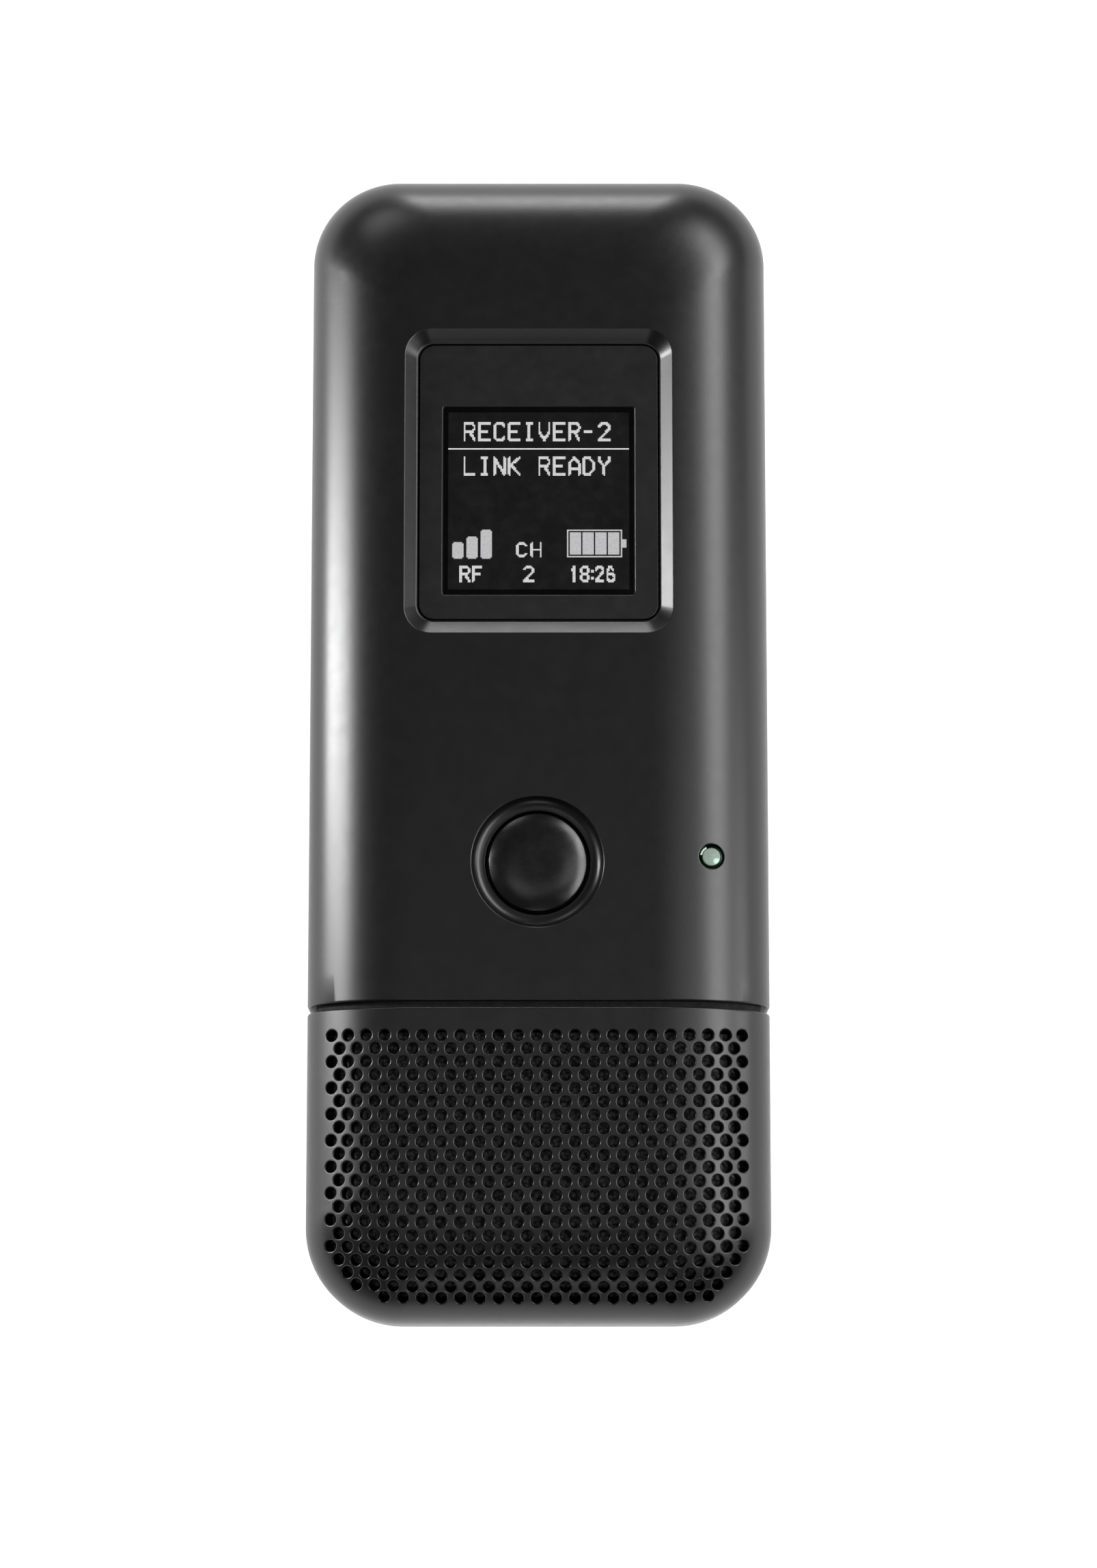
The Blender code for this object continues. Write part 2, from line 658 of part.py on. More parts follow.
def screw(name, place, head_z, length, head_height=SCREW_HEAD_HEIGHT):
    """A pan-head screw driven upwards, with a hexagonal socket; head_z is its lowest face."""
    seat_z = head_z + head_height
    profile = [(SCREW_HEAD - 0.25, head_z), (SCREW_HEAD, head_z + 0.25), (SCREW_HEAD, seat_z),
               (SCREW_SHANK, seat_z), (SCREW_SHANK, seat_z + length - 0.6),
               (0.4 * SCREW_SHANK, seat_z + length)]
    node = part(name, turned(profile, place, 14), surface(name, (0.06, 0.06, 0.065), 0.35, 1.0))
    return smooth(cut(node, turned([(0.8, head_z - 1.0), (0.8, head_z + 0.5 * head_height)], place, 6)))


def case_screws():
    for number, place in enumerate(SCREW_POSITIONS, 1):
        screw(f"case_screw_{number}", place, BACK_Z + SCREW_SINK, SCREW_LENGTH)


def clip_screws():
    head_height = 0.7
    head_z = BRACKET_LOW_Z - GAP - head_height
    for number, side in enumerate((1, -1), 1):
        screw(f"clip_screw_{number}", (side * CLIP_SCREW_X, HINGE_Y), head_z, 5.6, head_height)


def hinge_tab(x_low, x_high, radius, root_z):
    """A lug around the hinge axis, joined to a plate at root_z."""
    points = []
    upwards = root_z > HINGE_Z
    for i in range(11):
        angle = math.pi * i / 10 + (math.pi if upwards else 0.0)
        points.append((HINGE_Y + radius * math.cos(angle), HINGE_Z + radius * math.sin(angle)))
    if upwards:
        points += [(HINGE_Y + radius + 0.9, root_z), (HINGE_Y - radius - 0.9, root_z)]
    else:
        points += [(HINGE_Y - radius - 0.9, root_z), (HINGE_Y + radius + 0.9, root_z)]
    return extruded(points, x_low, x_high)


def hinge_bore():
    return rod((-FAR, HINGE_Y, HINGE_Z), (FAR, HINGE_Y, HINGE_Z), PIN_HOLE, 14)


def clip_bracket():
    """Base plate on the back of the case, with an ear on each side of the clip."""
    ear_in = CLIP_HALF_WIDTH + GAP
    ear_out = ear_in + EAR_THICKNESS
    high = BACK_Z - GAP
    bracket = part("clip_bracket", box((-ear_out, BRACKET_Y[0], BRACKET_LOW_Z), (ear_out, BRACKET_Y[1], high)),
                   surface("clip_bracket", (0.02, 0.02, 0.021), 0.4))
    for side in (-1, 1):
        low, top = sorted((side * ear_in, side * ear_out))
        add(bracket, hinge_tab(low, top, EAR_RADIUS, BRACKET_LOW_Z + 0.5))
        cut(bracket, turned([(SCREW_HOLE, 0.0), (SCREW_HOLE, FAR)], (side * CLIP_SCREW_X, HINGE_Y), 12))
    return smooth(cut(bracket, hinge_bore()))


def clip_profile():
    """(y, z) outline of the clip: a flat plate, a hooked tip and a tapered thumb tail."""
    plate = CLIP_THICKNESS
    bend = 3.2
    points = [(CLIP_TAIL_Y, 0.5), (CLIP_TAIL_Y + 0.5, 0.0)]
    centre_y = CLIP_TIP_Y - bend
    for i in range(7):
        angle = math.radians(-90 + 90 * i / 6)
        points.append((centre_y + bend * math.cos(angle), bend + bend * math.sin(angle)))
    points += [(CLIP_TIP_Y - 0.2, 4.5), (CLIP_TIP_Y - 0.9, 4.7), (CLIP_TIP_Y - plate, 4.2)]
    inner = bend - plate
    for i in range(6):
        angle = math.radians(-90 * i / 5)
        points.append((centre_y + inner * math.cos(angle), bend + inner * math.sin(angle)))
    points += [(CLIP_TAIL_Y + 0.6, plate), (CLIP_TAIL_Y, plate - 0.5)]
    return points


def belt_clip(parent):
    clip = part("belt_clip", extruded(clip_profile(), -CLIP_HALF_WIDTH, CLIP_HALF_WIDTH),
                surface("belt_clip", (0.015, 0.015, 0.016), 0.4), (0.0, HINGE_Y, HINGE_Z), parent)
    keep(clip, rounded_plate((CLIP_HALF_WIDTH + 0.5, CLIP_TAIL_Y - 0.5, CLIP_TIP_Y + 0.5, 6.0), -1.0, 9.0, 6))
    for side in (-1, 1):
        low, top = sorted((side * CLIP_HALF_WIDTH, side * (CLIP_HALF_WIDTH - KNUCKLE_WIDTH)))
        add(clip, hinge_tab(low, top, KNUCKLE_RADIUS, CLIP_THICKNESS - 0.5))
    cut(clip, hinge_bore())
    spring_room = SPRING_HALF_LENGTH + 1.6
    cut(clip, rod((-spring_room, HINGE_Y, HINGE_Z), (spring_room, HINGE_Y, HINGE_Z), 2.1))
    half_width, low_y, high_y = PAD
    cut(clip, rounded_plate((half_width + GAP, low_y - GAP, high_y + GAP, 1.3), PAD_LOW_Z - GAP, FAR))
    for i in range(4):
        groove_y = CLIP_TAIL_Y + 2.6 + 1.8 * i
        cut(clip, box((-7.5, groove_y - 0.4, -1.0), (7.5, groove_y + 0.4, 0.35)))
    return smooth(clip)


def clip_pad(parent):
    half_width, low_y, high_y = PAD
    return part("clip_pad", rounded_plate((half_width, low_y, high_y, 1.0), PAD_LOW_Z, PAD_HIGH_Z),
                surface("clip_pad", (0.02,) * 3, 0.9), (0.0, HINGE_Y, HINGE_Z), parent)


def hinge_pin():
    half = CLIP_HALF_WIDTH + GAP + EAR_THICKNESS
    mesh = rod((-half, HINGE_Y, HINGE_Z), (half, HINGE_Y, HINGE_Z), PIN_RADIUS, 14)
    return smooth(part("hinge_pin", mesh, surface("hinge_pin", (0.6, 0.6, 0.6), 0.25, 1.0)))


def clip_spring():
    """A torsion spring around the pin, with one leg along the bracket and one over the clip's tail."""
    leg = 4.0
    steps = 12
    points = [(-SPRING_HALF_LENGTH, HINGE_Y + leg, HINGE_Z + SPRING_COIL_RADIUS)]
    total = int((SPRING_TURNS + 0.5) * steps)
    for i in range(total + 1):
        angle = math.pi / 2 + math.tau * i / steps
        points.append((-SPRING_HALF_LENGTH + 2 * SPRING_HALF_LENGTH * i / total,
                       HINGE_Y + SPRING_COIL_RADIUS * math.cos(angle),
                       HINGE_Z + SPRING_COIL_RADIUS * math.sin(angle)))
    points.append((SPRING_HALF_LENGTH, HINGE_Y - leg * 0.75, HINGE_Z - SPRING_COIL_RADIUS + 1.1))
    curve = bpy.data.curves.new("clip_spring", "CURVE")
    curve.dimensions = "3D"
    curve.bevel_depth = SPRING_WIRE_RADIUS * MM
    curve.bevel_resolution = 1
    curve.use_fill_caps = True
    wire = curve.splines.new("POLY")
    wire.points.add(len(points) - 1)
    for place, (x, y, z) in zip(wire.points, points):
        place.co = (x * MM, y * MM, z * MM, 1.0)
    spring = bpy.data.objects.new("clip_spring", curve)
    curve.materials.append(surface("clip_spring", (0.6, 0.6, 0.6), 0.25, 1.0))
    bpy.context.collection.objects.link(spring)
    return spring


def joint_axis(name, place):
    axis = bpy.data.objects.new(name, None)
    axis.location = Vector(place) * MM
    axis.empty_display_size = 5 * MM
    bpy.context.collection.objects.link(axis)
    return axis


def build():
    clear_scene()
    front_shell()
    rear_shell()
    grille_cap()
    seam_gasket()
    grille_carrier()
    foam_windscreen()
    display_bezel()
    display_window()
    display_gasket()
    oled_panel()
    display_ribbon()
    button_axis = joint_axis("button_axis", (BUTTON_X, BUTTON_Y, BUTTON_TOP_Z))
    push_button(button_axis)
    switch_plunger(button_axis)
    switch_body()
    light_pipe()
    status_led()
    main_board()
    rf_shield()
    radio_chip()
    board_component("audio_chip", (5.0, 11.0), (8.0, 14.0), 1.1, (0.01,) * 3)
    board_component("power_chip", (5.5, 9.5), (20.0, 24.0), 1.0, (0.012,) * 3)
    board_component("processor", (-5.0, 3.0), (-3.0, 4.0), 1.2, (0.01,) * 3)
    antenna_strip()
    battery_pack()
    battery_ribbon()
    usb_shell()
    usb_tongue()
    audio_jack()
    mic_boot()
    mic_capsule()
    mic_ribbon()
    case_screws()
    clip_bracket()
    clip_screws()
    clip_axis = joint_axis("clip_axis", (0.0, HINGE_Y, HINGE_Z))
    belt_clip(clip_axis)
    clip_pad(clip_axis)
    hinge_pin()
    clip_spring()


build()
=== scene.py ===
"""Looks for a body-worn wireless audio unit: smooth shells, a truly perforated microphone end, a lit
display, the button, the light and the sprung belt clip, under soft studio light on a pale floor.

Lengths are in millimetres and become metres when a mesh is made. The frame gives the pieces' places;
the named values below shape what its plain solids stand for, and place the details within a piece.
"""
import math

import bmesh
import bpy
import numpy as np
from mathutils import Matrix, Vector
from mathutils.geometry import delaunay_2d_cdt


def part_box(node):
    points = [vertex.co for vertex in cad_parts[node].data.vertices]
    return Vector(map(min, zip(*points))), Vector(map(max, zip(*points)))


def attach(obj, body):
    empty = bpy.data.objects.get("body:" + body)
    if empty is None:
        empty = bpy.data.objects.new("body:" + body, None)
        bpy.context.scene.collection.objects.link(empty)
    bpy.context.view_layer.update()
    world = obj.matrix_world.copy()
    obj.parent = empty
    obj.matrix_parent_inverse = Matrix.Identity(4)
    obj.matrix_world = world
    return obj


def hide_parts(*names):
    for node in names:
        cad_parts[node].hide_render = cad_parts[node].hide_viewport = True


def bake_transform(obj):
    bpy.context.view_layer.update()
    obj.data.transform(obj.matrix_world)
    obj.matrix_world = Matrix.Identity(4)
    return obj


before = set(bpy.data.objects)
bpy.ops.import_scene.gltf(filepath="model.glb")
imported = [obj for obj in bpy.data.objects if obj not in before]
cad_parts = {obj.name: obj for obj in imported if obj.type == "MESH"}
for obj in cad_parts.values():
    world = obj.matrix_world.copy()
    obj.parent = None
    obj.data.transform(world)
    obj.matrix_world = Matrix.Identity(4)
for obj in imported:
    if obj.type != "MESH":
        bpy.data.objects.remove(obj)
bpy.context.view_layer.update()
MM = 0.001


def mm_box(node):
    low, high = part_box(node)
    return np.array(low) / MM, np.array(high) / MM


def node_centre(node):
    low, high = mm_box(node)
    return (low + high) / 2


def unit(rows):
    """Each row scaled to length 1."""
    return rows / np.linalg.norm(rows, axis=1)[:, None]


def angles_round(steps):
    """Angles at equal steps round a full turn."""
    return np.arange(steps) * math.tau / steps


def running_total(parts):
    """The running total, starting from 0."""
    return np.concatenate([[0], np.cumsum(parts)])


# ---------------------------------------------------------------- places from the frame

FRONT_LOW, FRONT_HIGH = mm_box("front_shell")
REAR_LOW = mm_box("rear_shell")[0]
CAP_HIGH = mm_box("grille_cap")[1]
HALF_WIDTH = CAP_HIGH[0]
HALF_LENGTH = FRONT_HIGH[1]
FRONT_Z = FRONT_HIGH[2]
BACK_Z = REAR_LOW[2]
PARTING_Z = FRONT_LOW[2]
SEAM_Y = FRONT_LOW[1]
CAP_END_Y = CAP_HIGH[1]
BUTTON_LOW, BUTTON_HIGH = mm_box("push_button")
BUTTON_XY = (BUTTON_LOW[:2] + BUTTON_HIGH[:2]) / 2
LIGHT_LOW, LIGHT_HIGH = mm_box("light_pipe")
LIGHT_XY = (LIGHT_LOW[:2] + LIGHT_HIGH[:2]) / 2
USB_LOW, USB_HIGH = mm_box("usb_shell")
JACK_LOW, JACK_HIGH = mm_box("audio_jack")

# ---------------------------------------------------------------- shape of the case

SIDE_INSET = 11.5        # how far in from the side the front face starts to roll off
FRONT_ROLL = 8.0
BACK_INSET = 6.5
BACK_ROLL = 8.5
ROLL_POWER = 2.2
DISPLAY_END_CORNER = 8.4
GRILLE_END_CORNER = 9.1
CORNER_TIGHTENING = 0.35
WALL = 1.5
CAP_WALL = 1.0
FOAM_GAP = 0.25          # between the perforated wall and the foam
FOAM_THICKNESS = 2.0
CELL_SIZE = 0.35         # of the foam's cells, and how deep they are
CELL_DEPTH = 0.22
EDGE = 0.18              # fillet on the free edges of the shells
RIM_FILLET = 0.12        # fillet on the small round holes
PORT_FILLET = 0.15
PORT_CLEARANCE = 0.32
JACK_RADIUS = 2.1
JACK_BORE = 1.75
JACK_Z = 18.3
PARTING_GAP = 0.3
SCREW_WELL = 2.1
SCREW_NODES = [f"case_screw_{number}" for number in range(1, 5)]
LIP_DEPTH = 0.85
SEAM_WIDENING = 0.10
SIDE_STEPS = 26
CORNER_STEPS = 22
END_STEPS = 24

# Display recess: half width, low Y, high Y, corner radius
RECESS = (12.95, 9.42, 39.48, 2.6)
LENS = (11.65, 10.84, 38.17, 1.6)
RIM_DEPTH = 1.07
RIM_STEPS = 34
# The rim's relative slope against the share of the way from the face to the lens panel
RIM_SECTION = [(0.0, 0.0), (0.03, 0.50), (0.08, 0.95), (0.60, 1.0), (0.84, 1.06), (0.89, 0.75), (0.93, 0.28),
               (1.0, 0.22)]
WINDOW = (9.19, 13.44, 31.90, 0.25)
WINDOW_CHAMFER = 0.12
WINDOW_SINK = 0.23

# Dish around the button
DISH_RADIUS = 6.3
DISH_DEPTH = 1.0
HOLLOW = (1.05, 0.72)    # the dish's hollow: how far in it reaches, and how far up its wall
BUTTON_BORE = 5.0
BUTTON_RADIUS = 4.70
BUTTON_FILLET = 0.12
DOME_DROP = 0.62
DOME_POWER = 3.87
LIGHT_HOLE = 1.18
PLUG_RADIUS = 1.10
LENS_RADIUS = 0.84
# Where the painted reflection on the light pipe's lens sits, from its middle
PAINTED_REFLECTION_OFFSET = (0.50, -0.42)
# The painted glint: radii and angles of an emitting arc over the plug's chamfer
GLINT_RADII = (0.90, 1.06)
GLINT_ARC = (118, 168)
# Radius of that painted reflection
PAINTED_REFLECTION_RADIUS = 0.55
BOSS_RADIUS = 7.8        # the boss behind the dish, and how deep it reaches
BOSS_DEPTH = 3.5

# Perforations
HOLE_RADIUS = 0.55
HOLE_FILLET = 0.14
HOLE_UPRIGHT = 0.55      # 0 drills square to the surface, 1 drills straight down
HOLE_STEPS = 20
COLUMN_PITCH = 1.80
ROW_PITCH = 1.2575
FIRST_ROW_Y = -29.17
ROW_BOW = (0.12, 0.009)  # how much a row's ends rise, at the first row and more for each row after
BOW_POWER = 0.6          # how the rise grows with the depth that the sides have rolled to
SIDE_ROLL_SHARE = 0.82   # the columns close up less than the roll of the sides asks
HOLE_SHIFT = -0.15       # the whole pattern sits this far to the left

HALF_PI = math.pi / 2
JACK_XZ = np.array([(JACK_LOW[0] + JACK_HIGH[0]) / 2, JACK_Z])


# ---------------------------------------------------------------- the case as a surface

def corner_radius(inset, end):
    base = np.where(np.asarray(end) > 0, DISPLAY_END_CORNER, GRILLE_END_CORNER)
    return np.maximum(base - CORNER_TIGHTENING * inset, 0.4)


def outline(inset, cut_y, end):
    """Plan outline at an inset, from the cut round one end and back to it, counter-clockwise."""
    radius = float(corner_radius(inset, end))
    x, y, start = HALF_WIDTH - inset, HALF_LENGTH - inset, end * cut_y
    side = [(x, start + (y - radius - start) * i / SIDE_STEPS) for i in range(SIDE_STEPS)]
    arc = [HALF_PI * i / CORNER_STEPS for i in range(CORNER_STEPS)]
    first = [(x - radius + radius * math.cos(a), y - radius + radius * math.sin(a)) for a in arc]
    middle = [((x - radius) * (1 - 2 * i / END_STEPS), y) for i in range(END_STEPS)]
    half = side + first + middle
    mirrored = [(-u, v) for u, v in reversed(side + first)]
    points = half + [(-(x - radius), y)] + mirrored
    return np.array(points) * end


def inset_at(xy):
    """How far in from the outermost outline plan points lie, found by bisection."""
    x, y = np.abs(xy[:, 0]), np.abs(xy[:, 1])
    low, high = np.zeros(len(xy)), np.full(len(xy), SIDE_INSET + 1.0)
    for _ in range(42):
        middle = (low + high) / 2
        radius = corner_radius(middle, xy[:, 1])
        across = x - (HALF_WIDTH - middle - radius)
        along = y - (HALF_LENGTH - middle - radius)
        outside = np.hypot(np.maximum(across, 0), np.maximum(along, 0))
        inside = outside + np.minimum(np.maximum(across, along), 0) < radius
        low, high = np.where(inside, middle, low), np.where(inside, high, middle)
    return (low + high) / 2


class Face:
    """The front or the back of the case: its plane, which way it looks, and how it rolls off."""

    def __init__(self, plane_z, way, width, depth):
        self.plane_z, self.way, self.width, self.depth = plane_z, way, width, depth

    def drop(self, inset):
        ratio = np.clip((self.width - np.asarray(inset, float)) / self.width, 0, 1)
        return self.depth * (1 - (1 - ratio ** ROLL_POWER) ** (1 / ROLL_POWER))

    def height(self, xy):
        return self.plane_z - self.way * self.drop(inset_at(xy))

    def lift(self, xy):
        return np.column_stack([xy, self.height(xy)])

    def normals(self, xy):
        step = 0.02
        right = self.height(xy + [step, 0]) - self.height(xy - [step, 0])
        up = self.height(xy + [0, step]) - self.height(xy - [0, step])
        vectors = np.column_stack([-right, -up, np.full(len(xy), 2 * step)]) * self.way
        return unit(vectors)

    def levels(self, first_inset, steps):
        """(inset, z) from first_inset out to the widest outline."""
        start = math.asin((1 - first_inset / self.width) ** (ROLL_POWER / 2))
        found = []
        for i in range(steps + 1):
            angle = start + (HALF_PI - start) * i / steps
            inset = self.width * (1 - math.sin(angle) ** (2 / ROLL_POWER))
            drop = self.depth * (1 - max(math.cos(angle), 0.0) ** (2 / ROLL_POWER))
            found.append((inset, self.plane_z - self.way * drop))
        return found


FRONT = Face(FRONT_Z, 1, SIDE_INSET, FRONT_ROLL)
BACK = Face(BACK_Z, -1, BACK_INSET, BACK_ROLL)


# ---------------------------------------------------------------- mesh tools

class Skin:
    """A surface under construction, whose points may carry their exact normal."""

    def __init__(self):
        self.points, self.normals, self.faces = [], [], []

    def add(self, points, normals=None):
        points = np.asarray(points, float)
        first = len(self.points)
        self.points.extend(points)
        if normals is None:
            self.normals.extend([None] * len(points))
        else:
            self.normals.extend(np.asarray(normals, float))
        return list(range(first, first + len(points)))

    def strip(self, low, high, closed=False, flip=False, skip=()):
        count = len(low)
        for i in range(count if closed else count - 1):
            if i in skip:
                continue
            j = (i + 1) % count
            face = (low[i], low[j], high[j], high[i])
            self.faces.append(face[::-1] if flip else face)

    def vertex_normals(self):
        mesh = bpy.data.meshes.new("measure")
        mesh.from_pydata([tuple(p) for p in self.points], [], self.faces)
        found = np.zeros(len(self.points) * 3)
        mesh.vertices.foreach_get("normal", found)
        bpy.data.meshes.remove(mesh)
        found = found.reshape(-1, 3)
        for i, known in enumerate(self.normals):
            if known is not None:
                found[i] = known
        return found

    def thicken(self, indices, faces, amount):
        """Adds the inner skin of the given faces, and returns the new index of each point."""
        normals = self.vertex_normals()
        points = [self.points[i] - normals[i] * amount for i in indices]
        twins = dict(zip(indices, self.add(points, [-normals[i] for i in indices])))
        for face in faces:
            self.faces.append(tuple(twins[i] for i in reversed(face)))
        return twins

    def object(self, name, material):
        mesh = bpy.data.meshes.new(name)
        mesh.from_pydata([tuple(p * MM) for p in self.points], [], self.faces)
        mesh.validate()
        mesh.shade_smooth()
        mesh.normals_split_custom_set_from_vertices([tuple(n) for n in self.vertex_normals()])
        return link(name, mesh, material)


def link(name, data, material):
    node = bpy.data.objects.new(name, data)
    bpy.context.scene.collection.objects.link(node)
    data.materials.append(material)
    return node


def place(node, body, slot, *replaced):
    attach(node, body)
    if replaced:
        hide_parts(*replaced)
    return node


def rounded_loop(shape, steps=10, sides=16):
    """Counter-clockwise loop of a rounded rectangle given as (half width, low Y, high Y, radius)."""
    half, low, high, radius = shape
    corners = [(half - radius, high - radius, 0), (radius - half, high - radius, 1),
               (radius - half, low + radius, 2), (half - radius, low + radius, 3)]
    points = []
    for number, (x, y, quarter) in enumerate(corners):
        for i in range(steps + 1):
            angle = HALF_PI * (quarter + i / steps)
            points.append((x + radius * math.cos(angle), y + radius * math.sin(angle)))
        next_x, next_y, next_quarter = corners[(number + 1) % 4]
        angle = HALF_PI * (quarter + 1)
        start = np.array(points[-1])
        end = np.array((next_x + radius * math.cos(angle), next_y + radius * math.sin(angle)))
        points += [tuple(start + (end - start) * i / sides) for i in range(1, sides)]
    return np.array(points)


def grown(shape, amount):
    half, low, high, radius = shape
    return (half + amount, low - amount, high + amount, max(radius + amount, 0.05))


def loop_outward(loop):
    """Unit outward direction at each point of a closed counter-clockwise plan loop."""
    tangent = np.roll(loop, -1, axis=0) - np.roll(loop, 1, axis=0)
    outward = np.column_stack([tangent[:, 1], -tangent[:, 0]])
    return unit(outward)


def circle(centre, radius, steps):
    angle = angles_round(steps)
    return np.asarray(centre) + radius * np.column_stack([np.cos(angle), np.sin(angle)])


def dealt(indices, loops):
    """Deals indices out to the loops in order, one for each point."""
    found, first = [], 0
    for loop in loops:
        found.append(indices[first:first + len(loop)])
        first += len(loop)
    return found


def triangulate(boundary, holes, inner):
    """Triangles over a plan region with holes; they index boundary + each hole + inner, in order."""
    points = np.vstack([boundary] + list(holes) + ([inner] if len(inner) else []))
    edges, first = [], 0
    for loop in [boundary] + list(holes):
        count = len(loop)
        edges += [(first + i, first + (i + 1) % count) for i in range(count)]
        first += count
    result = delaunay_2d_cdt([Vector(p) for p in points], edges, [], 1, 1e-7)
    places, faces, source = result[0], result[2], result[3]
    owner, first = np.full(len(points), -1), len(boundary)
    for number, loop in enumerate(holes):
        owner[first:first + len(loop)] = number
        first += len(loop)
    kept = []
    for face in faces:
        corners = [source[i][0] for i in face]
        owners = {int(owner[i]) for i in corners}
        if len(owners) == 1 and owners != {-1}:
            continue                                   # all three corners on one hole's rim
        a, b, c = (places[i] for i in face)
        turn = (b - a).cross(c - a)
        kept.append(tuple(corners if turn > 0 else corners[::-1]))
    return kept


def nested_points(first_inset, last_inset, step, cut_y, end, spacing):
    """Points along nested outlines, so that triangles follow the roll of the surface."""
    found = []
    for inset in np.arange(first_inset + step, last_inset, step):
        ring = outline(inset, cut_y + end * 0.35, end)
        length = running_total(np.linalg.norm(np.diff(ring, axis=0), axis=1))
        at = np.linspace(0, length[-1], max(int(length[-1] / spacing), 4))
        found.append(np.column_stack([np.interp(at, length, ring[:, 0]), np.interp(at, length, ring[:, 1])]))
    return np.vstack(found)


def clear_of(points, centres, radius):
    """Which points are further than radius from every centre."""
    keep = np.ones(len(points), bool)
    for centre in centres:
        keep &= np.hypot(*(points - centre).T) > radius
    return keep


def in_loop_box(points, shape, margin):
    half, low, high, _ = shape
    across, along = np.abs(points[:, 0]), points[:, 1]
    return (across < half + margin) & (along > low - margin) & (along < high + margin)


# ---------------------------------------------------------------- shells

class Shell:
    """One outer piece of the case: its rings, its faces with holes, and its free edge."""

    def __init__(self, cut_y, end):
        self.skin = Skin()
        self.cut_y, self.end = cut_y, end
        self.rings = []
        self.patch_holes = []

    def ring(self, inset, z):
        points = outline(inset, self.cut_y, self.end)
        indices = self.skin.add(np.column_stack([points, np.full(len(points), z)]))
        self.rings.append(indices)
        return indices

    def patch(self, face, ring_index, holes, inner, seam_steps):
        """Fills a face inside its first ring. Returns the seam's points and each hole's rim."""
        ring = self.rings[ring_index]
        ring_xy = np.array([self.skin.points[i][:2] for i in ring])
        seam_x = np.linspace(ring_xy[-1][0], ring_xy[0][0], seam_steps)[1:-1]
        seam_xy = np.column_stack([seam_x, np.full(len(seam_x), self.cut_y)])
        boundary = np.vstack([ring_xy, seam_xy])
        new_xy = np.vstack([seam_xy] + list(holes) + ([inner] if len(inner) else []))
        new = self.skin.add(face.lift(new_xy), face.normals(new_xy))
        for index, normal in zip(ring, face.normals(ring_xy)):
            self.skin.normals[index] = normal
        lookup = ring + new
        for triangle in triangulate(boundary, holes, inner):
            corners = tuple(lookup[i] for i in triangle)
            self.skin.faces.append(corners if face.way > 0 else corners[::-1])
        return new[:len(seam_x)], dealt(new[len(seam_x):], holes)


def sunk_ring(skin, face, rim_xy, radial, offset, depth, lean):
    """A ring beside a rim: moved into the hole by offset and down by depth, its normal leaning in."""
    xy = rim_xy - radial * offset
    axis = np.array([0.0, 0.0, face.way])
    points = face.lift(xy) - axis * depth
    inwards = np.column_stack([-radial, np.zeros(len(radial))])
    normals = axis * math.cos(lean) + inwards * math.sin(lean)
    return skin.add(points, unit(normals))


def round_hole(shell, face, rim, centre, depth):
    """A straight bore with a small rounded rim. Returns its last ring."""
    skin = shell.skin
    xy = np.array([skin.points[i][:2] for i in rim])
    radial = unit(xy - centre)
    last = rim
    for part in (1, 2, 3):
        angle = HALF_PI * part / 3
        ring = sunk_ring(skin, face, xy, radial, RIM_FILLET * math.sin(angle),
                         RIM_FILLET * (1 - math.cos(angle)), angle)
        skin.strip(last, ring, closed=True, flip=face.way < 0)
        last = ring
    bottom = sunk_ring(skin, face, xy, radial, RIM_FILLET, depth, HALF_PI)
    skin.strip(last, bottom, closed=True, flip=face.way < 0)
    return bottom


def recess_walls(shell, rim):
    """The moulded rim of the display recess, down to a narrow ledge and the gap. Returns its last ring."""
    skin = shell.skin
    rim_xy = np.array([skin.points[i][:2] for i in rim])
    foot_xy = rounded_loop(LENS)
    outward = loop_outward(foot_xy)
    flat = np.column_stack([-outward, np.zeros(len(outward))])
    across = np.linalg.norm(rim_xy - foot_xy, axis=1)
    surface_z = FRONT.height(rim_xy)
    drop = surface_z - (FRONT_Z - RIM_DEPTH)
    share = np.linspace(0, 1, RIM_STEPS)
    slope = np.interp(share, [part for part, _ in RIM_SECTION], [steep for _, steep in RIM_SECTION])
    sunk = running_total((slope[1:] + slope[:-1]) / 2 * np.diff(share))
    last = rim
    for part, steep, depth in zip(share[1:], slope[1:], sunk[1:]):
        xy = rim_xy + (foot_xy - rim_xy) * part
        z = surface_z - drop * depth / sunk[-1]
        lean = np.arctan(steep * drop / sunk[-1] / across)[:, None]
        ring = skin.add(np.column_stack([xy, z]), np.array([0, 0, 1.0]) * np.cos(lean) + flat * np.sin(lean))
        skin.strip(last, ring, closed=True)
        last = ring
    for depth in (RIM_DEPTH, RIM_DEPTH + 0.28):
        ring = skin.add(np.column_stack([foot_xy, np.full(len(foot_xy), FRONT_Z - depth)]), flat)
        skin.strip(last, ring, closed=True)
        last = ring
    return last


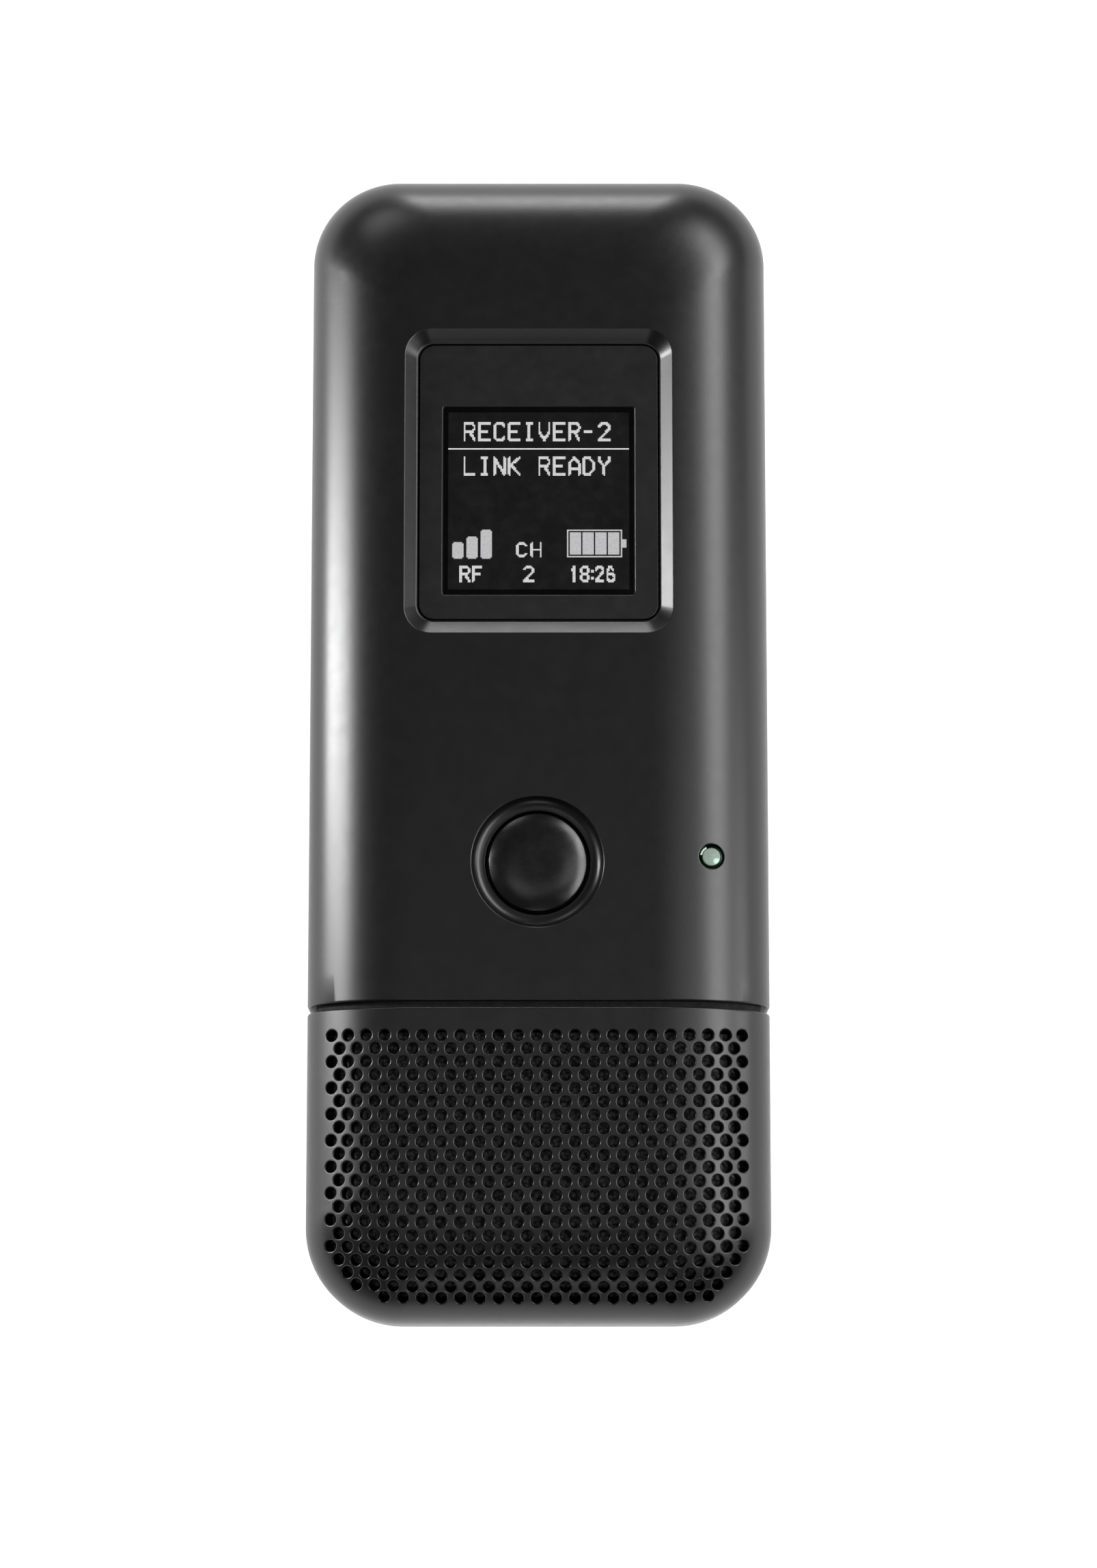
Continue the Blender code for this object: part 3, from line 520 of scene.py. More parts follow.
def dish_walls(shell, rim):
    """The bowl round the button: a crisp rim, a steep wall, a shallow hollow, a floor and a bore."""
    skin = shell.skin
    steps = len(rim)
    floor_z, foot = FRONT_Z - DISH_DEPTH, DISH_RADIUS - 0.16
    across, rise = HOLLOW
    profile = []
    for part in (1, 2, 3):
        angle = math.radians(80) * part / 3
        profile.append((DISH_RADIUS + 0.1 - 0.14 * math.sin(angle),
                        FRONT_Z - 0.12 * (1 - math.cos(angle)), angle))
    for part in range(13):
        angle = math.radians(84) * (1 - part / 12)
        lean = math.atan2(rise * math.sin(angle), across * math.cos(angle))
        profile.append((foot - across * (1 - math.sin(angle)), floor_z + rise * (1 - math.cos(angle)), lean))
    profile += [(BUTTON_BORE + 0.06, floor_z, 0.0), (BUTTON_BORE + 0.02, floor_z - 0.02, 0.8),
                (BUTTON_BORE, floor_z - 0.06, HALF_PI), (BUTTON_BORE, FRONT_Z - BOSS_DEPTH, HALF_PI),
                (BUTTON_BORE, FRONT_Z - BOSS_DEPTH, math.pi), (BOSS_RADIUS, FRONT_Z - BOSS_DEPTH, math.pi),
                (BOSS_RADIUS, FRONT_Z - BOSS_DEPTH, -HALF_PI), (BOSS_RADIUS, FRONT_Z - WALL - 0.15, -HALF_PI)]
    last = rim
    for radius, z, lean in profile:
        xy = circle(BUTTON_XY, radius, steps)
        radial = (xy - BUTTON_XY) / radius
        normals = np.column_stack([-radial * math.sin(lean), np.full(steps, math.cos(lean))])
        ring = skin.add(np.column_stack([xy, np.full(steps, z)]), normals)
        skin.strip(last, ring, closed=True)
        last = ring
    return last


def stadium(half_width, half_height, steps=14):
    """Loop of a slot with round ends, counter-clockwise in its own plane."""
    centre = half_width - half_height
    right = [-HALF_PI + math.pi * i / steps for i in range(steps + 1)]
    points = [(centre + half_height * math.cos(a), half_height * math.sin(a)) for a in right]
    points += [(-u, -v) for u, v in points]
    return np.array(points)


def end_wall_y(z):
    """Y of the display end's wall at a height, where the wall has begun to roll into the front."""
    ratio = np.clip((FRONT_ROLL - (FRONT_Z - z)) / FRONT_ROLL, 0, 1)
    return HALF_LENGTH - SIDE_INSET * (1 - (1 - ratio ** ROLL_POWER) ** (1 / ROLL_POWER))


def end_wall(shell, top_ring, holes):
    """The display end's wall between its first ring and top_ring, with the ports' holes."""
    skin = shell.skin
    first = SIDE_STEPS + CORNER_STEPS
    span = range(first, first + END_STEPS + 1)
    low, high = shell.rings[0], shell.rings[top_ring]
    border = [low[j] for j in reversed(span)]
    border += [ring[span[0]] for ring in shell.rings[1:top_ring]]
    border += [high[j] for j in span]
    border += [ring[span[-1]] for ring in reversed(shell.rings[1:top_ring])]
    border_xz = np.array([skin.points[i][[0, 2]] for i in border])
    new_xz = np.vstack(holes)
    step = 0.02
    slope = (end_wall_y(new_xz[:, 1] + step) - end_wall_y(new_xz[:, 1] - step)) / (2 * step)
    normals = np.column_stack([np.zeros(len(slope)), np.ones(len(slope)), -slope])
    places = np.column_stack([new_xz[:, 0], end_wall_y(new_xz[:, 1]), new_xz[:, 1]])
    new = skin.add(places, unit(normals))
    lookup = border + new
    for triangle in triangulate(border_xz, holes, []):
        skin.faces.append(tuple(lookup[i] for i in reversed(triangle)))
    return dealt(new, holes)


def port_hole(shell, rim, centre_xz, depth):
    """A bore along Y with a small rounded rim. Returns its last ring."""
    skin = shell.skin
    points = np.array([skin.points[i] for i in rim])
    loop = points[:, [0, 2]] - centre_xz
    tangent = np.roll(loop, -1, axis=0) - np.roll(loop, 1, axis=0)
    outward = unit(np.column_stack([tangent[:, 1], np.zeros(len(loop)), -tangent[:, 0]]))
    out_y = np.array([0.0, 1.0, 0.0])
    last = rim
    for part in (1, 2, 3, 4):
        angle = min(HALF_PI * part / 3, HALF_PI)
        sink = PORT_FILLET * (1 - math.cos(angle)) if part < 4 else depth
        normals = out_y * math.cos(angle) - outward * math.sin(angle)
        ring = skin.add(points - outward * PORT_FILLET * math.sin(angle) - out_y * sink, normals)
        skin.strip(last, ring, closed=True, flip=True)
        last = ring
    return last


def close_shell(shell, outer_faces, wall, hole_ends, loop, edge_end, flip_edge):
    """Adds the inner skin and joins it to every hole and to the free edge."""
    used = sorted({i for face in outer_faces for i in face})
    twins = shell.skin.thicken(used, outer_faces, wall)
    for rim, last, flip in hole_ends:
        shell.skin.strip(last, [twins[i] for i in rim], closed=True, flip=flip)
    shell.skin.strip(edge_end, [twins[i] for i in loop], closed=True, flip=flip_edge)


def join_rings(shell, skip_until=0, skip=()):
    for number, (low, high) in enumerate(zip(shell.rings, shell.rings[1:])):
        shell.skin.strip(low, high, skip=skip if number < skip_until else ())


def front_shell():
    shell = Shell(SEAM_Y + EDGE, 1)
    skin = shell.skin
    for z in (PARTING_Z + EDGE, PARTING_Z + 1.5, PARTING_Z + 3.2):
        shell.ring(0.0, z)
    for inset, z in reversed(FRONT.levels(3.0, 22)):
        shell.ring(inset, z)
    usb = (USB_HIGH + USB_LOW) / 2
    usb_half = (USB_HIGH - USB_LOW) / 2 + PORT_CLEARANCE
    jack_radius = JACK_RADIUS + PORT_CLEARANCE
    top_z = max(usb[2] + usb_half[2], JACK_Z + jack_radius) + 0.6
    top_ring = next(i for i, ring in enumerate(shell.rings) if skin.points[ring[0]][2] > top_z)
    first = SIDE_STEPS + CORNER_STEPS
    join_rings(shell, top_ring, range(first, first + END_STEPS))
    port_holes = [stadium(usb_half[0] + PORT_FILLET, usb_half[2] + PORT_FILLET) + usb[[0, 2]],
                  circle(JACK_XZ, jack_radius + PORT_FILLET, 40)]
    port_rims = end_wall(shell, top_ring, port_holes)

    light_rim = circle(LIGHT_XY, LIGHT_HOLE + RIM_FILLET, 40)
    dish_rim = circle(BUTTON_XY, DISH_RADIUS + 0.1, 96)
    recess_rim = rounded_loop(RECESS)
    inner = nested_points(3.0, SIDE_INSET + 0.3, 0.4, shell.cut_y, 1, 1.0)
    inner = inner[clear_of(inner, [LIGHT_XY], LIGHT_HOLE + 0.45)]
    inner = inner[clear_of(inner, [BUTTON_XY], DISH_RADIUS + 0.5)]
    inner = inner[~in_loop_box(inner, RECESS, 0.3)]
    seam, rims = shell.patch(FRONT, len(shell.rings) - 1, [recess_rim, dish_rim, light_rim], inner, 60)
    outer_faces = list(skin.faces)
    loop = list(shell.rings[0]) + [ring[-1] for ring in shell.rings[1:]] + seam
    loop += [ring[0] for ring in reversed(shell.rings[1:])]
    count = len(shell.rings[0])
    directions = [(0, -1, -1)] + [(0, 0, -1)] * (count - 2) + [(0, -1, -1)]
    directions += [(0, -1, 0)] * (len(loop) - count)
    edge_end = edge_rings(shell, loop, directions, flip=True)
    ends = [(rims[0], recess_walls(shell, rims[0]), False), (rims[1], dish_walls(shell, rims[1]), False),
            (rims[2], round_hole(shell, FRONT, rims[2], LIGHT_XY, WALL - 0.1), False)]
    for rim, centre in zip(port_rims, (usb[[0, 2]], JACK_XZ)):
        ends.append((rim, port_hole(shell, rim, centre, WALL - 0.1), True))
    close_shell(shell, outer_faces, WALL, ends, loop, edge_end, True)
    return skin


def edge_rings(shell, loop, directions, flip):
    """Rounds a free edge: rings turn from the outer face to the edge's own face, then run inwards."""
    skin = shell.skin
    normals = skin.vertex_normals()
    here = np.array([skin.points[i] for i in loop])
    outward = np.array([normals[i] for i in loop])
    directions = np.array(directions, float)
    flat = unit(directions)
    last = loop
    for part in (1, 2, 3):
        angle = HALF_PI * part / 3
        points = here - outward * EDGE * (1 - math.cos(angle)) + directions * EDGE * math.sin(angle)
        ring = skin.add(points, outward * math.cos(angle) + flat * math.sin(angle))
        skin.strip(last, ring, closed=True, flip=flip)
        last = ring
    ring = skin.add(here - outward * WALL * 0.8 + directions * EDGE, flat)
    skin.strip(last, ring, closed=True, flip=flip)
    return ring


def rear_shell():
    shell = Shell(SEAM_Y + EDGE, 1)
    skin = shell.skin
    for inset, z in BACK.levels(2.3, 14):
        shell.ring(inset, z)
    top = PARTING_Z - PARTING_GAP - EDGE
    shell.rings = [ring for ring in shell.rings if skin.points[ring[0]][2] < top - 0.1]
    shell.ring(0.0, top)
    join_rings(shell)
    wells = [circle(node_centre(node)[:2], SCREW_WELL + RIM_FILLET, 48) for node in SCREW_NODES]
    inner = nested_points(2.3, BACK_INSET + 0.3, 0.42, shell.cut_y, 1, 1.0)
    inner = inner[clear_of(inner, [node_centre(node)[:2] for node in SCREW_NODES], SCREW_WELL + 0.45)]
    seam, rims = shell.patch(BACK, 0, wells, inner, 50)
    outer_faces = list(skin.faces)
    parting = shell.rings[-1]
    loop = list(parting) + [ring[-1] for ring in reversed(shell.rings[:-1])] + seam
    loop += [ring[0] for ring in shell.rings[:-1]]
    count = len(parting)
    directions = [(0, -1, 1)] + [(0, 0, 1)] * (count - 2) + [(0, -1, 1)]
    directions += [(0, -1, 0)] * (len(loop) - count)
    edge_end = edge_rings(shell, loop, directions, flip=False)
    ends = [(rim, round_hole(shell, BACK, rim, node_centre(node)[:2], WALL - 0.1), True)
            for rim, node in zip(rims, SCREW_NODES)]
    close_shell(shell, outer_faces, WALL, ends, loop, edge_end, False)
    return skin


# ---------------------------------------------------------------- perforated cap

ROWS = 21
COLUMNS = 11
HOLE_MARGIN = 1.9
GRILLE_INSET = 1.0       # where the perforated face begins


def edge_distance(xy):
    """Distance of plan points inside the outermost outline."""
    radius = corner_radius(0.0, xy[:, 1])
    across = np.abs(xy[:, 0]) - (HALF_WIDTH - radius)
    along = np.abs(xy[:, 1]) - (HALF_LENGTH - radius)
    outside = np.hypot(np.maximum(across, 0), np.maximum(along, 0))
    return radius - outside - np.minimum(np.maximum(across, along), 0)


def unrolled(distance, half_extent, start=0.0, share=1.0):
    """Plan position reached by going a distance along the rolled surface, away from the middle."""
    plan = np.linspace(start, half_extent - 0.05, 1500)
    z = FRONT.drop(half_extent - plan) * share
    length = running_total(np.hypot(np.diff(plan), np.diff(z)))
    return np.interp(distance, length, plan)


def hole_centres():
    """Staggered rows, laid out flat and then rolled over the sides and the end."""
    centres = []
    for row in range(ROWS):
        y = -unrolled(row * ROW_PITCH, HALF_LENGTH, -FIRST_ROW_Y)
        shift = 0.5 * (row % 2)
        for column in np.arange(-COLUMNS + shift, COLUMNS + 1 - shift):
            side = math.copysign(1, column) if column else 0
            x = side * unrolled(abs(column) * COLUMN_PITCH, HALF_WIDTH, share=SIDE_ROLL_SHARE)
            bow = (ROW_BOW[0] + ROW_BOW[1] * row) * FRONT.drop(HALF_WIDTH - abs(x)) ** BOW_POWER
            centres.append((x + HOLE_SHIFT, y + bow))
    centres = np.array(centres)
    return centres[edge_distance(centres) > HOLE_MARGIN]


def rim_fillets(centres):
    """Each hole's fillet: less than the full one where the rows crowd together at the end."""
    gaps = np.linalg.norm(centres[:, None] - centres[None], axis=2)
    np.fill_diagonal(gaps, np.inf)
    return np.minimum(HOLE_FILLET, gaps.min(axis=1) / 2 * 1.03 - HOLE_RADIUS - 0.015)


def perforation_rims(centres):
    """Each hole's rim in plan. Its axis leans only part of the way towards the surface's normal."""
    rims, frames = [], []
    angle = angles_round(HOLE_STEPS)
    for centre, normal, fillet in zip(centres, FRONT.normals(centres), rim_fillets(centres)):
        axis = (1 - HOLE_UPRIGHT) * normal + HOLE_UPRIGHT * np.array([0, 0, 1.0])
        axis /= np.linalg.norm(axis)
        first = np.cross([0, 1.0, 0], axis)
        first /= np.linalg.norm(first)
        second = np.cross(axis, first)
        spokes = np.outer(np.cos(angle), first) + np.outer(np.sin(angle), second)
        rims.append(centre + (HOLE_RADIUS + fillet) * spokes[:, :2])
        frames.append((normal, axis, spokes, fillet))
    return rims, frames


def punch(skin, rim, normal, axis, spokes, fillet):
    """One perforation: a rounded rim and a wall. Returns the wall's last ring."""
    top = np.array([skin.points[i] for i in rim])
    last = rim
    for part in (1, 2, 3, 4):
        lean = HALF_PI * part / 4
        points = top - spokes * fillet * math.sin(lean) - axis * fillet * (1 - math.cos(lean))
        ring = skin.add(points, normal * math.cos(lean) - spokes * math.sin(lean))
        skin.strip(last, ring, closed=True)
        last = ring
    ring = skin.add(top - spokes * fillet - axis * (CAP_WALL - 0.12), -spokes)
    skin.strip(last, ring, closed=True)
    return ring


def grille_cap():
    shell = Shell(CAP_END_Y - EDGE - SEAM_WIDENING, -1)
    skin = shell.skin
    for inset, z in BACK.levels(BACK_INSET - 0.5, 18):
        shell.ring(inset, z)
    for inset, z in reversed(FRONT.levels(GRILLE_INSET, 18)):
        shell.ring(inset, z)
    join_rings(shell)
    centres = hole_centres()
    rims_xy, frames = perforation_rims(centres)
    inner = nested_points(GRILLE_INSET, SIDE_INSET + 0.3, 0.42, shell.cut_y, -1, 0.7)
    inner = inner[clear_of(inner, centres, HOLE_RADIUS + HOLE_FILLET + 0.12)]
    seam, rims = shell.patch(FRONT, len(shell.rings) - 1, rims_xy, inner, 90)
    back_seam, _ = shell.patch(BACK, 0, [], [], 50)
    outer_faces = list(skin.faces)
    loop = [shell.rings[-1][-1]] + seam + [ring[0] for ring in reversed(shell.rings)]
    loop += back_seam[::-1] + [ring[-1] for ring in shell.rings[:-1]]
    edge_end = edge_rings(shell, loop, [(0, 1, 0)] * len(loop), flip=True)
    ends = []
    for rim, frame_of_hole in zip(rims, frames):
        ends.append((rim, punch(skin, rim, *frame_of_hole), False))
    close_shell(shell, outer_faces, CAP_WALL, ends, loop, edge_end, True)
    return skin


def seam_section(offset, y):
    """The case's outline across the seam, set back from the surface; front edge first, then the back's."""
    points = []
    for face, order in ((FRONT, 1), (BACK, -1)):
        levels = face.levels(face.width, 24)
        half = [(HALF_WIDTH - inset, z) for inset, z in levels]
        side = np.array([(-x, z) for x, z in half[::-1]] + half)[::order]
        tangent = unit(np.gradient(side, axis=0))
        inward = np.column_stack([tangent[:, 1], -tangent[:, 0]])
        points += [(x, y, z) for x, z in side + inward * offset]
    return points


def seam_gasket_lip():
    """The gasket's lip, which closes the seam between the case and its perforated end."""
    low, high = CAP_END_Y - SEAM_WIDENING - 0.05, SEAM_Y + 0.05
    corners = [(LIP_DEPTH, low), (LIP_DEPTH, high), (LIP_DEPTH + 0.2, high), (LIP_DEPTH + 0.2, low)]
    band = loft_loops([seam_section(offset, y) for offset, y in corners], closed_ends=False)
    place(solid("seam_gasket_lip", band, RUBBER), "case", "rubber")


# ---------------------------------------------------------------- turned and lofted pieces

def rounded_profile(corners, steps=4):
    """(radius, z) corners with a fillet each, as points with their normals; material on the left."""
    points, normals = [], []
    count = len(corners)
    for number, (radius, z, fillet) in enumerate(corners):
        here = np.array((radius, z))
        ahead = np.array(corners[number + 1][:2]) - here if number + 1 < count else None
        behind = here - np.array(corners[number - 1][:2]) if number else None
        ways = [w / np.linalg.norm(w) for w in (behind, ahead) if w is not None]
        sides = [np.array((w[1], -w[0])) for w in ways]
        if len(ways) < 2:
            points.append(here)
            normals.append(sides[0])
            continue
        turn = math.atan2(ways[0][0] * ways[1][1] - ways[0][1] * ways[1][0], float(ways[0] @ ways[1]))
        if fillet <= 0 or abs(turn) < 0.02:
            points += [here, here]
            normals += sides
            continue
        reach = fillet * math.tan(abs(turn) / 2)
        centre = here - ways[0] * reach - sides[0] * fillet * math.copysign(1, turn)
        start = math.atan2(sides[0][1], sides[0][0])
        for i in range(steps + 1):
            angle = start + turn * i / steps
            normal = np.array((math.cos(angle), math.sin(angle)))
            points.append(centre + normal * fillet * math.copysign(1, turn))
            normals.append(normal)
    return points, normals


def turned(corners, centre, steps=64, fillet_steps=4, axis="z"):
    """A turned solid with filleted corners, from a profile that runs upwards along its outside."""
    points, normals = rounded_profile(corners, fillet_steps)
    return revolved([(*point, *normal) for point, normal in zip(points, normals)], centre, steps, axis)


def revolved(section, centre, steps, axis="z"):
    """A turned solid from (radius, z, normal out, normal up), going upwards; its ends are closed."""
    skin = Skin()
    angle = angles_round(steps)
    spokes = np.column_stack([np.cos(angle), np.sin(angle), np.zeros(steps)])
    last = None
    for radius, z, out, up in section:
        ring = skin.add(spokes * radius + [0, 0, z], spokes * out + [0, 0, up])
        if last is not None:
            skin.strip(last, ring, closed=True)
        else:
            base = skin.add(spokes * radius + [0, 0, z], np.tile([0, 0, -1.0], (steps, 1)))
            skin.faces.append(tuple(reversed(base)))
        last = ring
    crown = skin.add([skin.points[i] for i in last], np.tile([0, 0, 1.0], (steps, 1)))
    skin.faces.append(tuple(crown))
    turn = Matrix.Identity(3)
    if axis == "x":
        turn = Matrix.Rotation(HALF_PI, 3, "Y")
    if axis == "y":
        turn = Matrix.Rotation(-HALF_PI, 3, "X")
    turn = np.array(turn)
    skin.points = [turn @ p + centre for p in skin.points]
    skin.normals = [turn @ n for n in skin.normals]
    return skin


def loft_loops(loops, closed_ends=True):
    """Joins closed loops of equal length into a solid. Returns a bmesh in millimetres."""
    mesh = bmesh.new()
    rows = [[mesh.verts.new(p) for p in loop] for loop in loops]
    for low, high in zip(rows, rows[1:]):
        for i in range(len(low)):
            j = (i + 1) % len(low)
            mesh.faces.new((low[i], low[j], high[j], high[i]))
    if closed_ends:
        mesh.faces.new(rows[0][::-1])
        mesh.faces.new(rows[-1])
    else:
        for i in range(len(rows[0])):
            j = (i + 1) % len(rows[0])
            mesh.faces.new((rows[-1][i], rows[-1][j], rows[0][j], rows[0][i]))
    return mesh


def flat_loop(xy, z):
    return [(x, y, z) for x, y in xy]


def edged(node, width, segments=3, angle=35.0):
    """Rounds a piece's sharp edges; the width is in millimetres and the angle in degrees."""
    edge = node.modifiers.new("edge", "BEVEL")
    edge.width = width * MM
    edge.segments = segments
    edge.limit_method = "ANGLE"
    edge.angle_limit = math.radians(angle)
    edge.harden_normals = True
    node.data.shade_smooth()
    return node


def solid(name, mesh, material, bevel=0.0, angle=35.0):
    """A bmesh in millimetres becomes an object in metres, with its sharp edges rounded."""
    bmesh.ops.recalc_face_normals(mesh, faces=mesh.faces)
    mesh.transform(Matrix.Scale(MM, 4))
    data = bpy.data.meshes.new(name)
    mesh.to_mesh(data)
    mesh.free()
    node = link(name, data, material)
    if bevel:
        return edged(node, bevel, angle=angle)
    data.shade_smooth()
    data.set_sharp_from_angle(angle=math.radians(angle))
    return node


def plate(name, shape, z_low, z_high, material, bevel):
    loop = rounded_loop(shape, 8, 2)
    return solid(name, loft_loops([flat_loop(loop, z_low), flat_loop(loop, z_high)]), material, bevel)


def cuboid(low, high):
    ring = [(low[0], low[1]), (high[0], low[1]), (high[0], high[1]), (low[0], high[1])]
    return loft_loops([flat_loop(ring, low[2]), flat_loop(ring, high[2])])


def add_cuboid(mesh, low, high):
    """Adds one box to a bmesh."""
    corners = [(x, y, z) for z in (low[2], high[2]) for x, y in
               ((low[0], low[1]), (high[0], low[1]), (high[0], high[1]), (low[0], high[1]))]
    verts = [mesh.verts.new(c) for c in corners]
    for quad in ((3, 2, 1, 0), (4, 5, 6, 7), (0, 1, 5, 4), (1, 2, 6, 5), (2, 3, 7, 6), (3, 0, 4, 7)):
        mesh.faces.new([verts[i] for i in quad])


def merged(meshes):
    """Several closed bmeshes in one."""
    whole = bmesh.new()
    for mesh in meshes:
        temporary = bpy.data.meshes.new("temporary")
        mesh.to_mesh(temporary)
        mesh.free()
        whole.from_mesh(temporary)
        bpy.data.meshes.remove(temporary)
    return whole


def extruded(profile, low, high):
    """A (y, z) profile extruded along X."""
    return loft_loops([[(x, y, z) for y, z in profile] for x in (low, high)])


# ---------------------------------------------------------------- materials

def node_tree(name):
    material = bpy.data.materials.new(name)
    material.use_nodes = True
    tree = material.node_tree
    return material, tree, tree.nodes["Principled BSDF"]


def own_space(tree):
    """The piece's own coordinates."""
    return tree.nodes.new("ShaderNodeTexCoord").outputs["Object"]


def coated(tree, shader, colour, rough):
    """Wires a colour and a roughness to the shader."""
    tree.links.new(colour, shader.inputs["Base Color"])
    tree.links.new(rough, shader.inputs["Roughness"])


def noise(tree, scale, detail=2.0, roughness=0.5, stretch=None):
    """Noise over the piece's own coordinates; scale is the size of a feature in millimetres."""
    source = own_space(tree)
    if stretch:
        mapping = tree.nodes.new("ShaderNodeMapping")
        mapping.inputs["Scale"].default_value = stretch
        tree.links.new(source, mapping.inputs["Vector"])
        source = mapping.outputs["Vector"]
    texture = tree.nodes.new("ShaderNodeTexNoise")
    texture.inputs["Scale"].default_value = 1 / (scale * MM)
    texture.inputs["Detail"].default_value = detail
    texture.inputs["Roughness"].default_value = roughness
    tree.links.new(source, texture.inputs["Vector"])
    return texture.outputs["Fac"]


def ranged(tree, source, low, high, from_low=0.3, from_high=0.7):
    spread = tree.nodes.new("ShaderNodeMapRange")
    spread.inputs["From Min"].default_value = from_low
    spread.inputs["From Max"].default_value = from_high
    spread.inputs["To Min"].default_value = low
    spread.inputs["To Max"].default_value = high
    tree.links.new(source, spread.inputs["Value"])
    return spread.outputs["Result"]


def tinted(tree, source, first, second):
    ramp = tree.nodes.new("ShaderNodeValToRGB")
    ramp.color_ramp.elements[0].position = 0.3
    ramp.color_ramp.elements[0].color = (*first, 1)
    ramp.color_ramp.elements[1].position = 0.7
    ramp.color_ramp.elements[1].color = (*second, 1)
    tree.links.new(source, ramp.inputs["Fac"])
    return ramp.outputs["Color"]


def bumped(tree, shader, layers):
    """Adds bump layers, each (source, height in millimetres)."""
    last = None
    for source, height in layers:
        bump = tree.nodes.new("ShaderNodeBump")
        bump.inputs["Strength"].default_value = 1.0
        bump.inputs["Distance"].default_value = height * MM
        tree.links.new(source, bump.inputs["Height"])
        if last:
            tree.links.new(last, bump.inputs["Normal"])
        last = bump.outputs["Normal"]
    tree.links.new(last, shader.inputs["Normal"])


def plastic(name, dark, light, rough, grain=0.14, height=0.004, specular=0.5):
    """Moulded plastic: a fine spark-eroded grain, slight mottling and uneven polish."""
    material, tree, shader = node_tree(name)
    coated(tree, shader, tinted(tree, noise(tree, 3.0), dark, light),
           ranged(tree, noise(tree, 1.1, 3.0), *rough))
    shader.inputs["Specular IOR Level"].default_value = specular
    bumped(tree, shader, [(noise(tree, grain, 1.5), height), (noise(tree, grain * 4, 1.0), height * 0.2)])
    return material


def rubber(name, dark, light):
    material, tree, shader = node_tree(name)
    coated(tree, shader, tinted(tree, noise(tree, 0.8), dark, light),
           ranged(tree, noise(tree, 0.5, 3.0), 0.7, 0.9))
    shader.inputs["Specular IOR Level"].default_value = 0.3
    bumped(tree, shader, [(noise(tree, 0.1, 2.0), 0.006)])
    return material


def metal(name, dark, light, rough, stretch=(1, 1, 1), grain=0.12, height=0.0015):
    material, tree, shader = node_tree(name)
    shader.inputs["Metallic"].default_value = 1.0
    coated(tree, shader, tinted(tree, noise(tree, 0.7, 3.0), dark, light),
           ranged(tree, noise(tree, grain * 2, 3.0, stretch=stretch), *rough))
    bumped(tree, shader, [(noise(tree, grain, 2.0, stretch=stretch), height)])
    return material


def foam_material():
    material, tree, shader = node_tree("open_cell_foam")
    cells = tree.nodes.new("ShaderNodeTexVoronoi")
    cells.inputs["Scale"].default_value = 1 / (CELL_SIZE * MM)
    tree.links.new(own_space(tree), cells.inputs["Vector"])
    coated(tree, shader, tinted(tree, cells.outputs["Distance"], (0.22, 0.22, 0.225), (0.04, 0.04, 0.04)),
           ranged(tree, noise(tree, 0.2), 0.8, 1.0))
    shader.inputs["Specular IOR Level"].default_value = 0.2
    bumped(tree, shader, [(cells.outputs["Distance"], 0.08)])
    return material


def lit(name, colour, strength):
    """An emission that varies a little from dot to dot: the display's dots, the diode, and the light pipe's
    painted glint.
    """
    material, tree, shader = node_tree(name)
    shader.inputs["Base Color"].default_value = (0.02, 0.02, 0.02, 1)
    shader.inputs["Roughness"].default_value = 0.6
    dim = tuple(c * 0.82 for c in colour)
    tree.links.new(tinted(tree, noise(tree, 0.19, 1.0), dim, colour), shader.inputs["Emission Color"])
    shader.inputs["Emission Strength"].default_value = strength
    return material


def light_pipe_material(reflection_centre, reflection_radius):
    """Milky green plastic with a painted reflection: an emission that makes a green spot at one side and is
    faint elsewhere.
    """
    material, tree, shader = node_tree("light_pipe_plastic")
    milky = tinted(tree, noise(tree, 0.25, 3.0), (0.27, 0.31, 0.28), (0.36, 0.41, 0.37))
    tree.links.new(milky, shader.inputs["Base Color"])
    mapping = tree.nodes.new("ShaderNodeMapping")
    mapping.inputs["Scale"].default_value = [1 / (reflection_radius * MM)] * 3
    mapping.inputs["Location"].default_value = [-c / reflection_radius for c in reflection_centre]
    tree.links.new(own_space(tree), mapping.inputs["Vector"])
    # The painted reflection: a spherical fade of emission, brightest at its centre
    glow = tree.nodes.new("ShaderNodeTexGradient")
    glow.gradient_type = "SPHERICAL"
    tree.links.new(mapping.outputs["Vector"], glow.inputs["Vector"])
    green = tinted(tree, glow.outputs["Fac"], (0.02, 0.05, 0.03), (0.45, 0.85, 0.58))
    tree.links.new(green, shader.inputs["Emission Color"])
    shader.inputs["Emission Strength"].default_value = 0.8
    shader.inputs["Roughness"].default_value = 0.22
    bumped(tree, shader, [(noise(tree, 0.35, 2.0), 0.012)])
    return material


CASE = plastic("case_plastic", (0.0040, 0.0040, 0.0043), (0.0050, 0.0050, 0.0053), (0.31, 0.34))
CAP = plastic("cap_plastic", (0.0050, 0.0050, 0.0053), (0.0062, 0.0062, 0.0065), (0.32, 0.36), height=0.003)
BEZEL = plastic("bezel_plastic", (0.009, 0.009, 0.0098), (0.012, 0.012, 0.0130), (0.28, 0.34), 0.08, 0.001)
BUTTON = plastic("button_plastic", (0.0036, 0.0036, 0.0040), (0.0055, 0.0055, 0.0058), (0.24, 0.31),
                 0.10, 0.002)
CLIP = plastic("clip_plastic", (0.007, 0.007, 0.0075), (0.011, 0.011, 0.0115), (0.38, 0.48), 0.18, 0.006)
INNER = plastic("inner_plastic", (0.010, 0.010, 0.010), (0.016, 0.016, 0.016), (0.5, 0.65))
GLASS = plastic("window_glass", (0.0010, 0.0010, 0.0012), (0.0016, 0.0016, 0.0018), (0.10, 0.16), 0.4, 0.0004)
